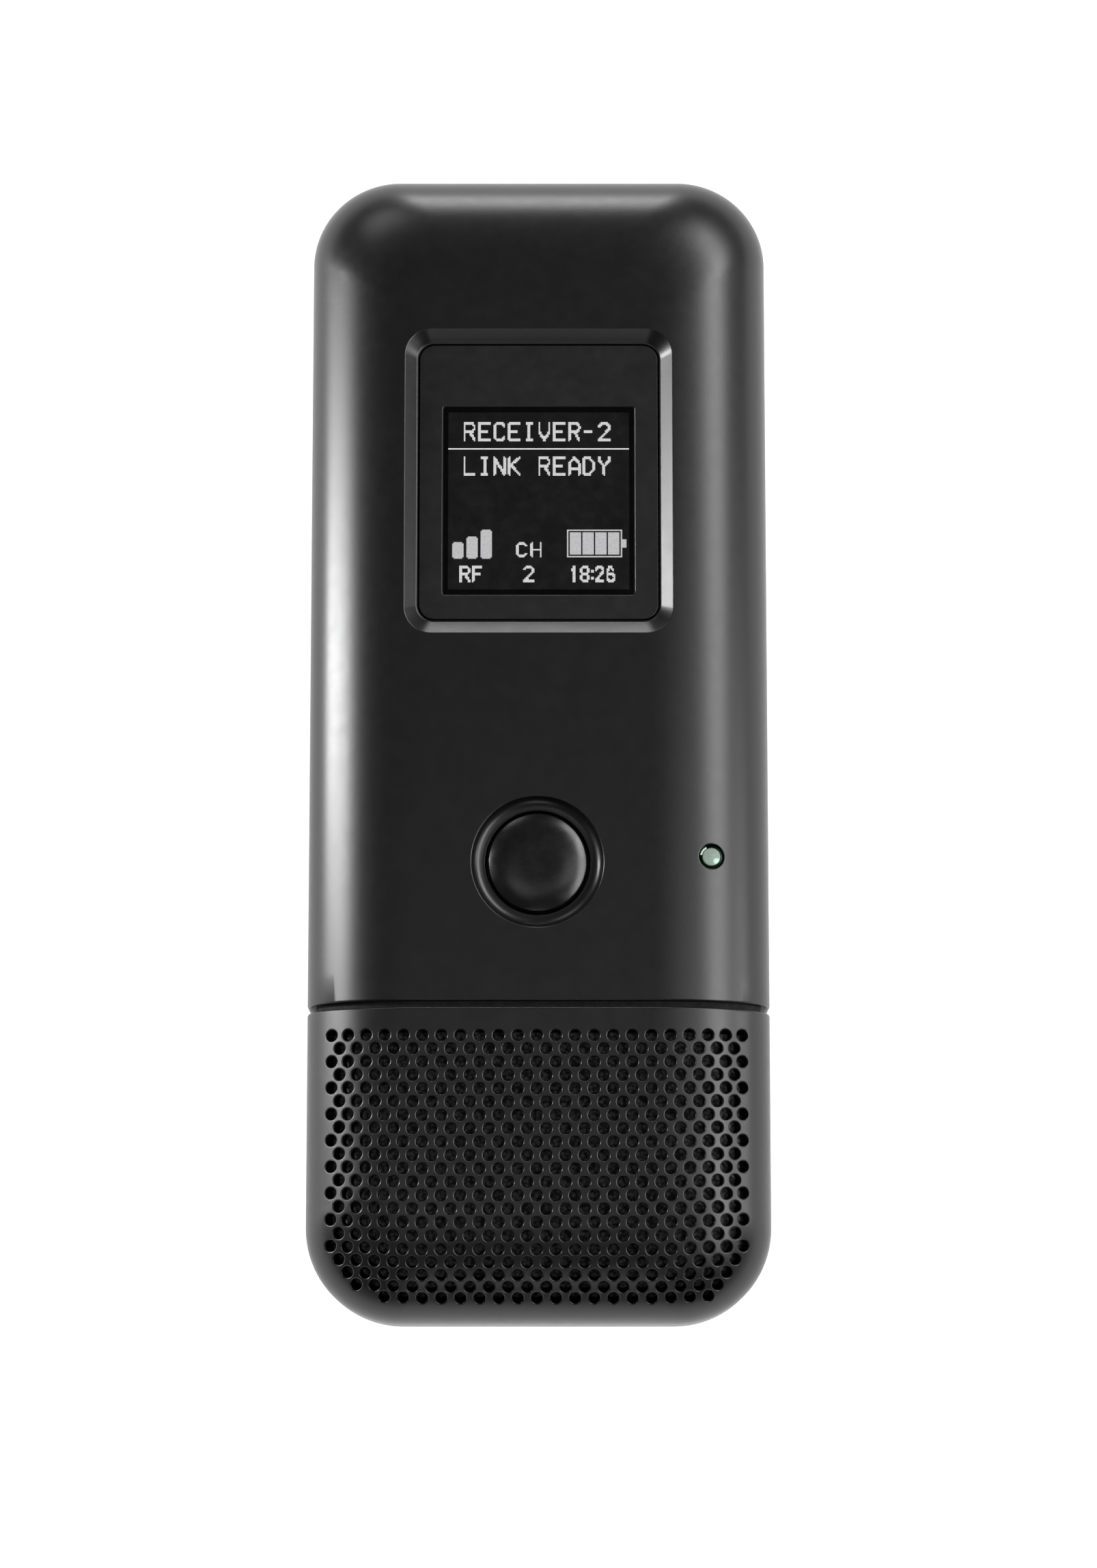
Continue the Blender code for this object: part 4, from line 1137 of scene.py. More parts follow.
RASTER = plastic("raster_black", (0.0040, 0.0040, 0.0042), (0.0060, 0.0060, 0.0062), (0.22, 0.3),
                 0.14, 0.0006)
PANEL = plastic("panel_black", (0.0030, 0.0030, 0.0032), (0.0042, 0.0042, 0.0045), (0.3, 0.4), 0.1, 0.0005)
RUBBER = rubber("black_rubber", (0.004, 0.004, 0.004), (0.009, 0.009, 0.009))
PLUG = plastic("plug_plastic", (0.004, 0.016, 0.009), (0.008, 0.03, 0.016), (0.10, 0.2), 0.2, 0.001)
FOAM = foam_material()
STEEL = metal("bright_steel", (0.45, 0.45, 0.46), (0.62, 0.62, 0.62), (0.18, 0.32), (1, 8, 1))
BLACK_STEEL = metal("black_steel", (0.03, 0.03, 0.032), (0.06, 0.06, 0.063), (0.28, 0.42))
TINNED = metal("tinned_metal", (0.55, 0.55, 0.54), (0.72, 0.72, 0.70), (0.2, 0.34))
GOLD = metal("gold_contacts", (0.75, 0.48, 0.16), (0.9, 0.62, 0.25), (0.15, 0.28))


# ---------------------------------------------------------------- display

def display_bezel():
    """The satin panel round the screen: a rounded outer edge and a chamfer down to the window."""
    low, high = FRONT_Z - 2.4, FRONT_Z - RIM_DEPTH
    sections = [(grown(LENS, -0.16), low), (grown(LENS, -0.16), high), (grown(WINDOW, WINDOW_CHAMFER), high),
                (WINDOW, high - WINDOW_SINK), (WINDOW, low)]
    loops = [flat_loop(rounded_loop(shape, 10, 4), z) for shape, z in sections]
    panel = solid("display_bezel_panel", loft_loops(loops, closed_ends=False), BEZEL, 0.05)
    return place(panel, "case", "bezel_plastic", "display_bezel")


def display_window():
    """A dark window flush with the foot of the chamfer, over the panel."""
    top = FRONT_Z - RIM_DEPTH - WINDOW_SINK
    pane = plate("display_window_pane", grown(WINDOW, -0.03), top - 0.6, top, GLASS, 0.03)
    place(pane, "case", "window", "display_window")
    back = plate("display_panel_back", grown(WINDOW, -0.1), top - 1.9, top - 0.75, PANEL, 0.05)
    place(back, "case", "display_panel", "oled_panel")
    active = (DOTS * DOT / 2, SCREEN_TOP - DOTS * DOT, SCREEN_TOP, 0.05)
    raster = plate("display_raster", active, top + 0.002, top + 0.006, RASTER, 0)
    place(raster, "case", "display_panel")
    return top + 0.009


DOTS = 128
DOT = 0.1363
SCREEN_TOP = WINDOW[2] - 0.50

# Letters as strokes on a grid of 4 by 6; each stroke is a run of grid points, "xy xy ...".
GLYPHS = {
    "A": ["00 04 26 44 40", "02 42"], "C": ["45 36 16 05 01 10 30 41"], "D": ["00 06 26 44 42 20 00"],
    "E": ["40 00 06 46", "03 33"], "F": ["00 06 46", "03 33"], "H": ["00 06", "40 46", "03 43"],
    "I": ["10 30", "20 26", "16 36"], "K": ["00 06", "03 46", "13 40"], "L": ["06 00 40"],
    "N": ["00 06 40 46"], "R": ["00 06 36 45 44 33 03", "23 40"], "V": ["06 03 20 43 46"],
    "Y": ["06 05 23 45 46", "23 20"], "0": ["10 30 41 45 36 16 05 01 10"], "1": ["15 26 20"],
    "2": ["05 16 36 45 44 00 40"], "6": ["35 26 16 04 01 10 30 41 42 33 03"],
    "8": ["13 04 05 16 36 45 44 33 13 02 01 10 30 41 42 33"], "-": ["03 33"],
}


class Screen:
    """A grid of dots; x runs right and y runs down, both from the active area's corner."""

    def __init__(self):
        self.lit = np.zeros((DOTS, DOTS), bool)
        self.down, self.right = np.mgrid[0:DOTS, 0:DOTS] + 0.5

    def block(self, x, y, width, height, cut=0):
        """A filled rectangle, with cut dots missing at each corner."""
        inside = (self.right > x) & (self.right < x + width) & (self.down > y) & (self.down < y + height)
        from_side = np.minimum(self.right - x, x + width - self.right)
        from_end = np.minimum(self.down - y, y + height - self.down)
        self.lit |= inside & (from_side + from_end > cut + 0.5)

    def frame(self, x, y, width, height):
        self.block(x, y, width, 1)
        self.block(x, y + height - 1, width, 1)
        self.block(x, y, 1, height)
        self.block(x + width - 1, y, 1, height)

    def line(self, start, end, thick):
        start, end = np.array(start, float), np.array(end, float)
        along = end - start
        share = (self.right - start[0]) * along[0] + (self.down - start[1]) * along[1]
        share = np.clip(share / max(along @ along, 1e-9), 0, 1)
        away = np.hypot(self.right - start[0] - share * along[0], self.down - start[1] - share * along[1])
        self.lit |= away < thick / 2

    def text(self, words, x, y, width, height, pitch, thick=1.8):
        for number, letter in enumerate(words):
            for stroke in GLYPHS.get(letter, []):
                points = [(x + number * pitch + 1 + int(p[0]) / 4 * (width - 2),
                           y + height - 1 - int(p[1]) / 6 * (height - 2)) for p in stroke.split()]
                for start, end in zip(points, points[1:]):
                    self.line(start, end, thick)

    def mesh(self, z):
        """Every run of lit dots in a row, as one flat bar."""
        bars = bmesh.new()
        for row in range(DOTS):
            edges = np.flatnonzero(np.diff(np.concatenate([[0], self.lit[row].astype(int), [0]])))
            y = SCREEN_TOP - row * DOT
            for first, last in edges.reshape(-1, 2):
                low = (-DOTS * DOT / 2 + first * DOT, y - DOT * 0.95, z)
                high = (-DOTS * DOT / 2 + last * DOT, y, z + 0.01)
                add_cuboid(bars, low, high)
        return bars


def display_image(z):
    """Generic contents: what the unit is, its state, signal bars, a channel, and a battery with the time."""
    words = Screen()
    words.text("RECEIVER-2", 10.5, 7, 9, 14, 10.6)
    words.text("LINK READY", 10.5, 32, 9, 14, 10.6)
    words.block(0, 26, DOTS, 1)
    words.text("RF", 8, 111, 8, 12, 8.6)
    words.text("CH", 48, 94, 8, 11, 10.4)
    words.text("2", 53, 111, 8, 12, 8.6)
    words.text("18", 85.5, 111, 7, 12, 7.6)
    words.block(101, 114, 2, 2)
    words.block(101, 119, 2, 2)
    words.text("26", 103.5, 111, 7, 12, 8)
    shapes = Screen()
    for number, height in enumerate((12, 16, 21)):
        shapes.block(3 + 10 * number, 106 - height, 8, height, 1)
    shapes.frame(84, 85, 39, 20)
    for number in range(4):
        shapes.block(86 + 9 * number, 87, 8, 16)
    shapes.block(123, 92, 3, 6)
    for name, screen, material in (("display_words", words, lit("dots_text", (0.66, 0.66, 0.67), 1.0)),
                                   ("display_shapes", shapes, lit("dots_shapes", (0.52, 0.52, 0.53), 1.0))):
        place(solid(name, screen.mesh(z), material), "case", "display_panel")


# ---------------------------------------------------------------- button and light

def push_button():
    """A cap that is flat in the middle and rounds off ever more steeply towards its edge."""
    low, top = BUTTON_LOW[2], BUTTON_HIGH[2]
    radius = (BUTTON_HIGH[0] - BUTTON_LOW[0]) / 2
    section = [(radius, low, 1, 0), (radius, low + 0.4, 1, 0), (radius, low + 0.4, 0, 1),
               (BUTTON_RADIUS, low + 0.4, 0, 1), (BUTTON_RADIUS, low + 0.4, 1, 0)]
    crown_edge = BUTTON_RADIUS - BUTTON_FILLET
    steepest = math.atan(DOME_DROP * DOME_POWER / crown_edge)
    edge_z = top - DOME_DROP
    for part in range(7):
        lean = HALF_PI - (HALF_PI - steepest) * part / 6
        out = BUTTON_FILLET * (math.sin(lean) - math.sin(steepest)) / (1 - math.sin(steepest))
        down = BUTTON_FILLET * (math.cos(steepest) - math.cos(lean))
        section.append((crown_edge + out, edge_z - down, math.sin(lean), math.cos(lean)))
    for share in np.linspace(1, 0.02, 26)[1:]:
        lean = math.atan(DOME_DROP * DOME_POWER / crown_edge * share ** (DOME_POWER - 1))
        section.append((crown_edge * share, top - DOME_DROP * share ** DOME_POWER,
                        math.sin(lean), math.cos(lean)))
    skin = revolved(section, np.array([*BUTTON_XY, 0]), 128)
    place(skin.object("button_cap", BUTTON), "button", "button_plastic", "push_button")


def light_pipe():
    """A milky disc with a painted reflection, on a dark glassy plug; an emitting arc on the chamfer is a
    painted glint.
    """
    low, top = LIGHT_LOW[2], LIGHT_HIGH[2]
    centre = np.array([*LIGHT_XY, 0])
    disc = [(LENS_RADIUS, top - 0.3, 0), (LENS_RADIUS, top - 0.03, 0.06), (0.02, top, 0)]
    # Centre of the lens's painted reflection, a spot of emission
    reflection_centre = centre + (*PAINTED_REFLECTION_OFFSET, top)
    place(turned(disc, centre, 40, 4).object("light_lens", light_pipe_material(reflection_centre, PAINTED_REFLECTION_RADIUS)),
          "case", "light_pipe")
    plug = [(PLUG_RADIUS, low, 0), (PLUG_RADIUS, top - 0.34, 0.05), (LENS_RADIUS + 0.03, top - 0.07, 0.03),
            (LENS_RADIUS + 0.02, top - 0.25, 0), (0.02, top - 0.25, 0)]
    place(turned(plug, centre, 40, 4).object("light_plug", PLUG), "case", "light_pipe", "light_pipe")
    # The painted glint: an arc that emits pale green light where the chamfer would shine
    arc = [LIGHT_XY + radius * np.array([math.cos(a), math.sin(a)])
           for radius, order in ((GLINT_RADII[0], 1), (GLINT_RADII[1], -1))
           for a in np.radians(np.linspace(*GLINT_ARC, 12))[::order]]
    glint = loft_loops([flat_loop(np.array(arc), z) for z in (top - 0.24, top - 0.1)])
    place(solid("light_glint", glint, lit("painted_glint", (0.72, 0.95, 0.78), 0.85)), "case", "light_pipe")


def light_pipe_seat():
    """The diode under the light pipe glows faintly; its node stays."""
    paint("status_led", lit("led_green", (0.2, 0.7, 0.3), 0.4))


# ---------------------------------------------------------------- foam behind the grille

def foam_windscreen(material):
    """Open-cell foam just behind the perforations, with its cells as real bumps."""
    low, high = mm_box("foam_windscreen")
    shell = Shell(high[1], -1)
    skin = shell.skin
    for inset, z in reversed(FRONT.levels(1.3, 14)):
        shell.ring(inset, z)
    join_rings(shell)
    inner = nested_points(1.3, HALF_WIDTH - 0.8, 0.34, shell.cut_y, -1, 0.34)
    seam, _ = shell.patch(FRONT, len(shell.rings) - 1, [], inner, 110)
    normals = skin.vertex_normals()
    cells = np.random.default_rng(5).uniform(0.0, CELL_DEPTH, len(skin.points))
    for i, normal in enumerate(normals):
        skin.points[i] = skin.points[i] - normal * (CAP_WALL + FOAM_GAP + cells[i])
        skin.normals[i] = None
    outer_faces = list(skin.faces)
    loop = [shell.rings[-1][-1]] + seam + [ring[0] for ring in reversed(shell.rings)]
    loop += list(shell.rings[0])[1:] + [ring[-1] for ring in shell.rings[1:-1]]
    used = sorted({i for face in outer_faces for i in face})
    twins = skin.thicken(used, outer_faces, FOAM_THICKNESS)
    skin.strip(loop, [twins[i] for i in loop], closed=True, flip=True)
    piece = skin.object("foam_lining", material)
    return place(piece, "case", "foam", "foam_windscreen")


# ---------------------------------------------------------------- Booleans

def combine(node, operation, *tools):
    for tool in tools:
        step = node.modifiers.new(operation, "BOOLEAN")
        step.operation = operation
        step.solver = "EXACT"
        step.object = tool
    bpy.context.view_layer.update()
    graph = bpy.context.evaluated_depsgraph_get()
    data = bpy.data.meshes.new_from_object(node.evaluated_get(graph))
    node.modifiers.clear()
    node.data = data
    for tool in tools:
        bpy.data.objects.remove(tool)
    return node


def cutter(mesh):
    return solid("cutter", mesh, INNER)


def rod(start, end, radius, steps=48):
    """A plain closed rod along X, Y or Z."""
    start, end = np.array(start, float), np.array(end, float)
    axis = int(np.argmax(np.abs(end - start)))
    first, second = (axis + 1) % 3, (axis + 2) % 3
    loops = []
    for centre in (start, end):
        loop = np.tile(centre, (steps, 1))
        angle = angles_round(steps)
        loop[:, first] += radius * np.cos(angle)
        loop[:, second] += radius * np.sin(angle)
        loops.append([tuple(p) for p in loop])
    return loft_loops(loops)


# ---------------------------------------------------------------- ports

BEYOND_END = 80          # Y of a place well outside the display end
CONTACTS = 12            # on each side of the tongue
CONTACT_PITCH = 0.5
CONTACT_HALF_WIDTH = 0.14
CONTACT_ENDS = (3.4, 0.35)   # how far back from the tongue's tip a contact begins and ends


def usb_port():
    centre = (USB_LOW + USB_HIGH) / 2
    half = (USB_HIGH - USB_LOW) / 2
    mouth, wall = USB_HIGH[1], 0.3
    loops = []
    for inset, y in ((0.0, USB_LOW[1]), (0.0, mouth - 0.12), (0.05, mouth - 0.02), (0.15, mouth),
                     (0.25, mouth - 0.03), (wall, mouth - 0.14), (wall, USB_LOW[1] + 0.8)):
        ring = stadium(half[0] - inset, half[2] - inset, 20) + centre[[0, 2]]
        loops.append([(x, y, z) for x, z in ring])
    place(solid("usb_mouth", loft_loops(loops), TINNED, angle=50), "case", "tinned", "usb_shell")
    low, high = mm_box("usb_tongue")
    tongue = plate_along_y("usb_tongue_board", low, high, 0.3, INNER)
    place(tongue, "case", "inner_plastic", "usb_tongue")
    contacts = []
    for side in (-1, 1):
        face = high[2] if side > 0 else low[2]
        for number in range(CONTACTS):
            x = centre[0] + (number - (CONTACTS - 1) / 2) * CONTACT_PITCH
            z = sorted((face, face + side * 0.03))
            contacts.append(cuboid((x - CONTACT_HALF_WIDTH, high[1] - CONTACT_ENDS[0], z[0]),
                                   (x + CONTACT_HALF_WIDTH, high[1] - CONTACT_ENDS[1], z[1])))
    place(solid("usb_contacts", merged(contacts), GOLD), "case", "copper_alloy")


def plate_along_y(name, low, high, radius, material):
    """A slab whose mouth end has rounded corners."""
    loops = []
    for z in (low[2], high[2]):
        half = (high[0] - low[0]) / 2
        ring = rounded_loop((half, low[1], high[1], radius), 4, 2) + [(low[0] + high[0]) / 2, 0]
        loops.append(flat_loop(ring, z))
    return solid(name, loft_loops(loops), material, 0.06)


def audio_jack():
    centre_x = JACK_XZ[0]
    face, block_end = JACK_HIGH[1], JACK_HIGH[1] - 2.1
    body = cutter(cuboid((JACK_LOW[0], JACK_LOW[1], JACK_LOW[2]), (JACK_HIGH[0], block_end, JACK_HIGH[2])))
    body.data.materials.clear()
    body.data.materials.append(INNER)
    body.name = "jack_housing"
    outside = (centre_x, BEYOND_END, JACK_Z)
    combine(body, "DIFFERENCE", cutter(rod((centre_x, JACK_LOW[1] + 1.5, JACK_Z), outside, JACK_BORE)),
            cutter(rod((centre_x, block_end - 1.0, JACK_Z), outside, JACK_RADIUS + 0.02)))
    place(edged(body, 0.15), "case", "inner_plastic", "audio_jack")
    lip = [(JACK_RADIUS, -3.0, 0), (JACK_RADIUS, 0.0, 0.12), (JACK_BORE + 0.1, 0.0, 0.08),
           (JACK_BORE, -0.25, 0.1), (JACK_BORE, -3.0, 0)]
    skin = tube(lip, np.array([centre_x, face, JACK_Z]), 64)
    place(skin.object("jack_barrel", TINNED), "case", "tinned")


def tube(corners, centre, steps):
    """A turned ring about Y; the profile runs up the outside and down the bore."""
    skin = Skin()
    points, normals = rounded_profile(corners, 4)
    angle = angles_round(steps)
    rings = []
    for (radius, along), (out, up) in zip(points, normals):
        spokes = np.column_stack([np.cos(angle), np.zeros(steps), -np.sin(angle)])
        places = spokes * radius + [0, along, 0] + centre
        rings.append(skin.add(places, spokes * out + [0, up, 0]))
    for low, high in zip(rings, rings[1:]):
        skin.strip(low, high, closed=True)
    flat = np.tile([0, -1.0, 0], (steps, 1))
    ends = [skin.add([skin.points[i] for i in ring], flat) for ring in (rings[-1], rings[0])]
    skin.strip(ends[0], ends[1], closed=True)
    return skin


# ---------------------------------------------------------------- screws

HEAD_RADIUS = 1.8
SHANK_RADIUS = 0.9
SOCKET_RADIUS = 0.84
CLIP_HEAD = 0.7          # depth of a screw's head, on the clip and on the case
CASE_HEAD = 1.2


def screw(node):
    """A button-head screw seen from its head, with a hexagonal socket and a chamfered rim."""
    low, high = mm_box(node)
    centre = np.array([*node_centre(node)[:2], 0])
    head = CLIP_HEAD if node.startswith("clip") else CASE_HEAD
    seat = low[2] + head
    corners = [(0.95, low[2], 0), (1.05, low[2], 0.05), (1.62, low[2] + 0.10, 0.15),
               (HEAD_RADIUS, low[2] + 0.38, 0.12), (HEAD_RADIUS, seat, 0.05), (SHANK_RADIUS, seat, 0.05),
               (SHANK_RADIUS, high[2] - 0.6, 0.2), (0.3, high[2], 0.05), (0.1, high[2], 0)]
    piece = turned(corners, centre, 48, 3).object(f"{node}_head", BLACK_STEEL)
    angle = angles_round(6)
    hexagon = np.column_stack([np.cos(angle), np.sin(angle)]) * SOCKET_RADIUS + centre[:2]
    socket = cutter(loft_loops([flat_loop(hexagon, low[2] - 1), flat_loop(hexagon, low[2] + 0.6 * head)]))
    combine(piece, "DIFFERENCE", socket)
    piece.data.shade_smooth()
    piece.data.set_sharp_from_angle(angle=math.radians(30))
    place(piece, "case", "black_steel", node)


# ---------------------------------------------------------------- belt clip

CLIP_LOW, CLIP_HIGH = mm_box("belt_clip")
PIN_LOW, PIN_HIGH = mm_box("hinge_pin")
HINGE_YZ = ((PIN_LOW + PIN_HIGH) / 2)[1:]
CLIP_THICKNESS = 1.6
CLIP_BEND = 3.2
KNUCKLE_RADIUS = 1.75
KNUCKLE_WIDTH = 2.3
EAR_RADIUS = 1.9
PIN_HOLE = 0.95
SPRING_BAY = (4.6, 2.1)  # half length and radius of the room for the spring
THROUGH = 30             # half length of a drill that passes right through
SPRING_HALF_LENGTH = 3.0
SPRING_RADIUS = 1.35
SPRING_TURNS = 5.5
WIRE_RADIUS = 0.28


def clip_centreline():
    """(y, z, direction) along the middle of the clip's plate, from the thumb tail to the hooked tip."""
    middle, bend = CLIP_THICKNESS / 2, CLIP_BEND - CLIP_THICKNESS / 2
    tail, tip = CLIP_LOW[1], CLIP_HIGH[1]
    points = [(y, middle, 0.0) for y in np.linspace(tail, tip - CLIP_BEND, 60)]
    for i in range(1, 13):
        angle = HALF_PI * i / 12
        points.append((tip - CLIP_BEND + bend * math.sin(angle), CLIP_BEND - bend * math.cos(angle), angle))
    points.append((tip - middle, CLIP_HIGH[2], HALF_PI))
    return points


def half_width_at(distance, length, widest, radius):
    """Half width of a strip with rounded plan corners, at a distance along it."""
    from_end = min(distance, length - distance)
    if from_end >= radius:
        return widest
    return widest - radius + math.sqrt(max(radius ** 2 - (radius - from_end) ** 2, 0.0))


def clip_strip():
    """The sprung plate: a rounded cross-section swept along the centreline, narrower at both ends."""
    line = clip_centreline()
    steps = [0.0] + [math.hypot(b[0] - a[0], b[1] - a[1]) for a, b in zip(line, line[1:])]
    along = np.cumsum(steps)
    ends = [0.03, 0.25, 0.7, 1.3, 2.1, 3.1, 4.4]
    samples = sorted(set(ends + [along[-1] - e for e in ends] + [a for a in along if 5 < a < along[-1] - 5]))
    y, z, way = (np.interp(samples, along, [p[i] for p in line]) for i in range(3))
    loops = []
    for i, distance in enumerate(samples):
        half = half_width_at(distance, along[-1], CLIP_HIGH[0], 5.5)
        thin = 0.55 + 0.45 * min(1.0, min(distance, along[-1] - distance) / 0.7) ** 0.5
        deep = CLIP_THICKNESS / 2 * thin
        section = rounded_loop((half, -deep, deep, 0.5 * thin), 4, 6)
        loops.append([(x, y[i] - v * math.sin(way[i]), z[i] + v * math.cos(way[i])) for x, v in section])
    return loft_loops(loops)


def lug(x_low, x_high, radius, root_z):
    """A rounded lug round the hinge axis, joined to a plate at root_z."""
    y, z = HINGE_YZ
    start = math.pi if root_z > z else 0.0
    side = 1 if root_z > z else -1
    points = []
    for i in range(25):
        angle = start + math.pi * i / 24
        points.append((y + radius * math.cos(angle), z + radius * math.sin(angle)))
    points += [(y + side * (radius + 0.9), root_z), (y - side * (radius + 0.9), root_z)]
    return extruded(points, x_low, x_high)


def belt_clip():
    clip = solid("belt_clip_plate", clip_strip(), CLIP)
    y, z = HINGE_YZ
    knuckles = []
    for side in (-1, 1):
        low, high = sorted((side * (CLIP_HIGH[0] - 0.3), side * (CLIP_HIGH[0] - KNUCKLE_WIDTH)))
        knuckles.append(cutter(lug(low, high, KNUCKLE_RADIUS, CLIP_THICKNESS - 0.5)))
    combine(clip, "UNION", *knuckles)
    pad_low, pad_high = mm_box("clip_pad")
    pocket = rounded_loop((pad_high[0] + 0.3, pad_low[1] - 0.3, pad_high[1] + 0.3, 1.3), 6, 2)
    tools = [cutter(rod((-THROUGH, y, z), (THROUGH, y, z), PIN_HOLE)),
             cutter(rod((-SPRING_BAY[0], y, z), (SPRING_BAY[0], y, z), SPRING_BAY[1])),
             cutter(loft_loops([flat_loop(pocket, pad_low[2] - 0.3), flat_loop(pocket, 5.0)]))]
    for number in range(5):
        groove = CLIP_LOW[1] + 2.4 + 1.5 * number
        half = 8.2 - 0.35 * abs(number - 2)
        tools.append(cutter(rod((-half, groove, -0.12), (half, groove, -0.12), 0.48, 24)))
    combine(clip, "DIFFERENCE", *tools)
    place(edged(clip, 0.1, 2, 40), "clip", "clip_plastic", "belt_clip")


def clip_pad():
    """A rubber grip pad with moulded cross ribs."""
    low, high = mm_box("clip_pad")
    base = rounded_loop((high[0], low[1], high[1], 1.0), 6, 2)
    sheet = loft_loops([flat_loop(base, low[2]), flat_loop(base, high[2] - 0.3)])
    place(solid("clip_pad_base", sheet, RUBBER, 0.08), "clip", "rubber", "clip_pad")
    ribs = []
    count = 6
    for number in range(count):
        y = low[1] + (high[1] - low[1]) * (number + 0.5) / count
        rib = rounded_loop((high[0] - 0.5, y - 0.42, y + 0.42, 0.4), 5, 2)
        ribs.append(loft_loops([flat_loop(rib, high[2] - 0.32), flat_loop(rib, high[2])]))
    place(solid("clip_pad_ribs", merged(ribs), RUBBER, 0.12), "clip", "rubber")


def clip_bracket():
    low, high = mm_box("clip_bracket")
    plate_low = high[2] - 1.0
    ear_in = CLIP_HIGH[0] + 0.3
    shape = rounded_loop((high[0], low[1], high[1], 1.2), 8, 4)
    slab = loft_loops([flat_loop(shape, plate_low), flat_loop(shape, high[2])])
    bracket = solid("clip_bracket_plate", slab, CLIP)
    ears = [cutter(lug(*sorted((side * ear_in, side * high[0])), EAR_RADIUS, plate_low + 0.4))
            for side in (-1, 1)]
    combine(bracket, "UNION", *ears)
    y, z = HINGE_YZ
    tools = [cutter(rod((-THROUGH, y, z), (THROUGH, y, z), PIN_HOLE))]
    for node in ("clip_screw_1", "clip_screw_2"):
        x = node_centre(node)[0]
        tools.append(cutter(rod((x, y, 0), (x, y, 20), 1.15)))
    for side in (-1, 1):
        slot = rounded_loop((1.4, low[1] + 1.6, high[1] - 1.6, 1.0), 6, 2) + [side * 9.4, 0]
        tools.append(cutter(loft_loops([flat_loop(slot, plate_low - 1), flat_loop(slot, plate_low + 0.35)])))
    combine(bracket, "DIFFERENCE", *tools)
    place(edged(bracket, 0.14, 3, 40), "case", "clip_plastic", "clip_bracket")


def hinge_pin():
    radius, half = (PIN_HIGH[2] - PIN_LOW[2]) / 2, PIN_HIGH[0]
    corners = [(0.1, -half, 0), (0.55, -half, 0.1), (radius, -half + 0.16, 0.1), (radius, half - 0.16, 0.1),
               (0.55, half, 0.1), (0.1, half, 0)]
    skin = turned(corners, np.array([0.0, *HINGE_YZ]), 40, 3, "x")
    place(skin.object("hinge_pin_rod", STEEL), "case", "steel", "hinge_pin")


def clip_spring():
    """A torsion spring round the pin: one leg on the bracket, one on the clip's tail. It winds up in use."""
    y, z = HINGE_YZ
    half, coil, steps = SPRING_HALF_LENGTH, SPRING_RADIUS, 36
    points = [(-half, y + 4.0, z + coil + 0.15), (-half, y + 1.2, z + coil)]
    count = int(SPRING_TURNS * steps)
    for i in range(count + 1):
        angle = HALF_PI + math.tau * i / steps
        points.append((-half + 2 * half * i / count, y + coil * math.cos(angle), z + coil * math.sin(angle)))
    points += [(half, y - 1.2, z - coil + 0.1), (half, y - 3.1, z - coil + 0.35)]
    curve = bpy.data.curves.new("spring", "CURVE")
    curve.dimensions = "3D"
    curve.bevel_depth = WIRE_RADIUS * MM
    curve.bevel_resolution = 4
    curve.use_fill_caps = True
    spline = curve.splines.new("POLY")
    spline.points.add(len(points) - 1)
    for point, place_mm in zip(spline.points, points):
        point.co = (*(np.array(place_mm) * MM), 1.0)
    source = bpy.data.objects.new("source", curve)
    bpy.context.scene.collection.objects.link(source)
    bpy.context.view_layer.update()
    data = bpy.data.meshes.new_from_object(source.evaluated_get(bpy.context.evaluated_depsgraph_get()))
    bpy.data.objects.remove(source)
    data.materials.clear()
    data.shade_smooth()
    spring = link("clip_spring_coil", data, STEEL)
    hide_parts("clip_spring")
    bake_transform(spring)


# ---------------------------------------------------------------- inner pieces keep their frame shapes

def paint(node, material):
    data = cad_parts[node].data
    data.materials.clear()
    data.materials.append(material)


def board_material():
    """Solder mask over copper: pale traces under a glossy green film."""
    material, tree, shader = node_tree("board_mask")
    bricks = tree.nodes.new("ShaderNodeTexBrick")
    bricks.inputs["Scale"].default_value = 1 / (2.4 * MM)
    bricks.inputs["Color1"].default_value = (0.004, 0.045, 0.018, 1)
    bricks.inputs["Color2"].default_value = (0.005, 0.055, 0.022, 1)
    bricks.inputs["Mortar"].default_value = (0.02, 0.13, 0.06, 1)
    bricks.inputs["Mortar Size"].default_value = 0.03
    tree.links.new(own_space(tree), bricks.inputs["Vector"])
    coated(tree, shader, bricks.outputs["Color"], ranged(tree, noise(tree, 0.8), 0.25, 0.4))
    bumped(tree, shader, [(bricks.outputs["Fac"], 0.02)])
    return material


def ribbon_material():
    """Flat cable: fine conductors under an amber film."""
    material, tree, shader = node_tree("ribbon_film")
    waves = tree.nodes.new("ShaderNodeTexWave")
    waves.inputs["Scale"].default_value = 1 / (3.0 * MM)
    tree.links.new(own_space(tree), waves.inputs["Vector"])
    coated(tree, shader, tinted(tree, waves.outputs["Fac"], (0.30, 0.11, 0.015), (0.42, 0.20, 0.05)),
           ranged(tree, noise(tree, 0.6), 0.3, 0.45))
    bumped(tree, shader, [(waves.outputs["Fac"], 0.02)])
    return material


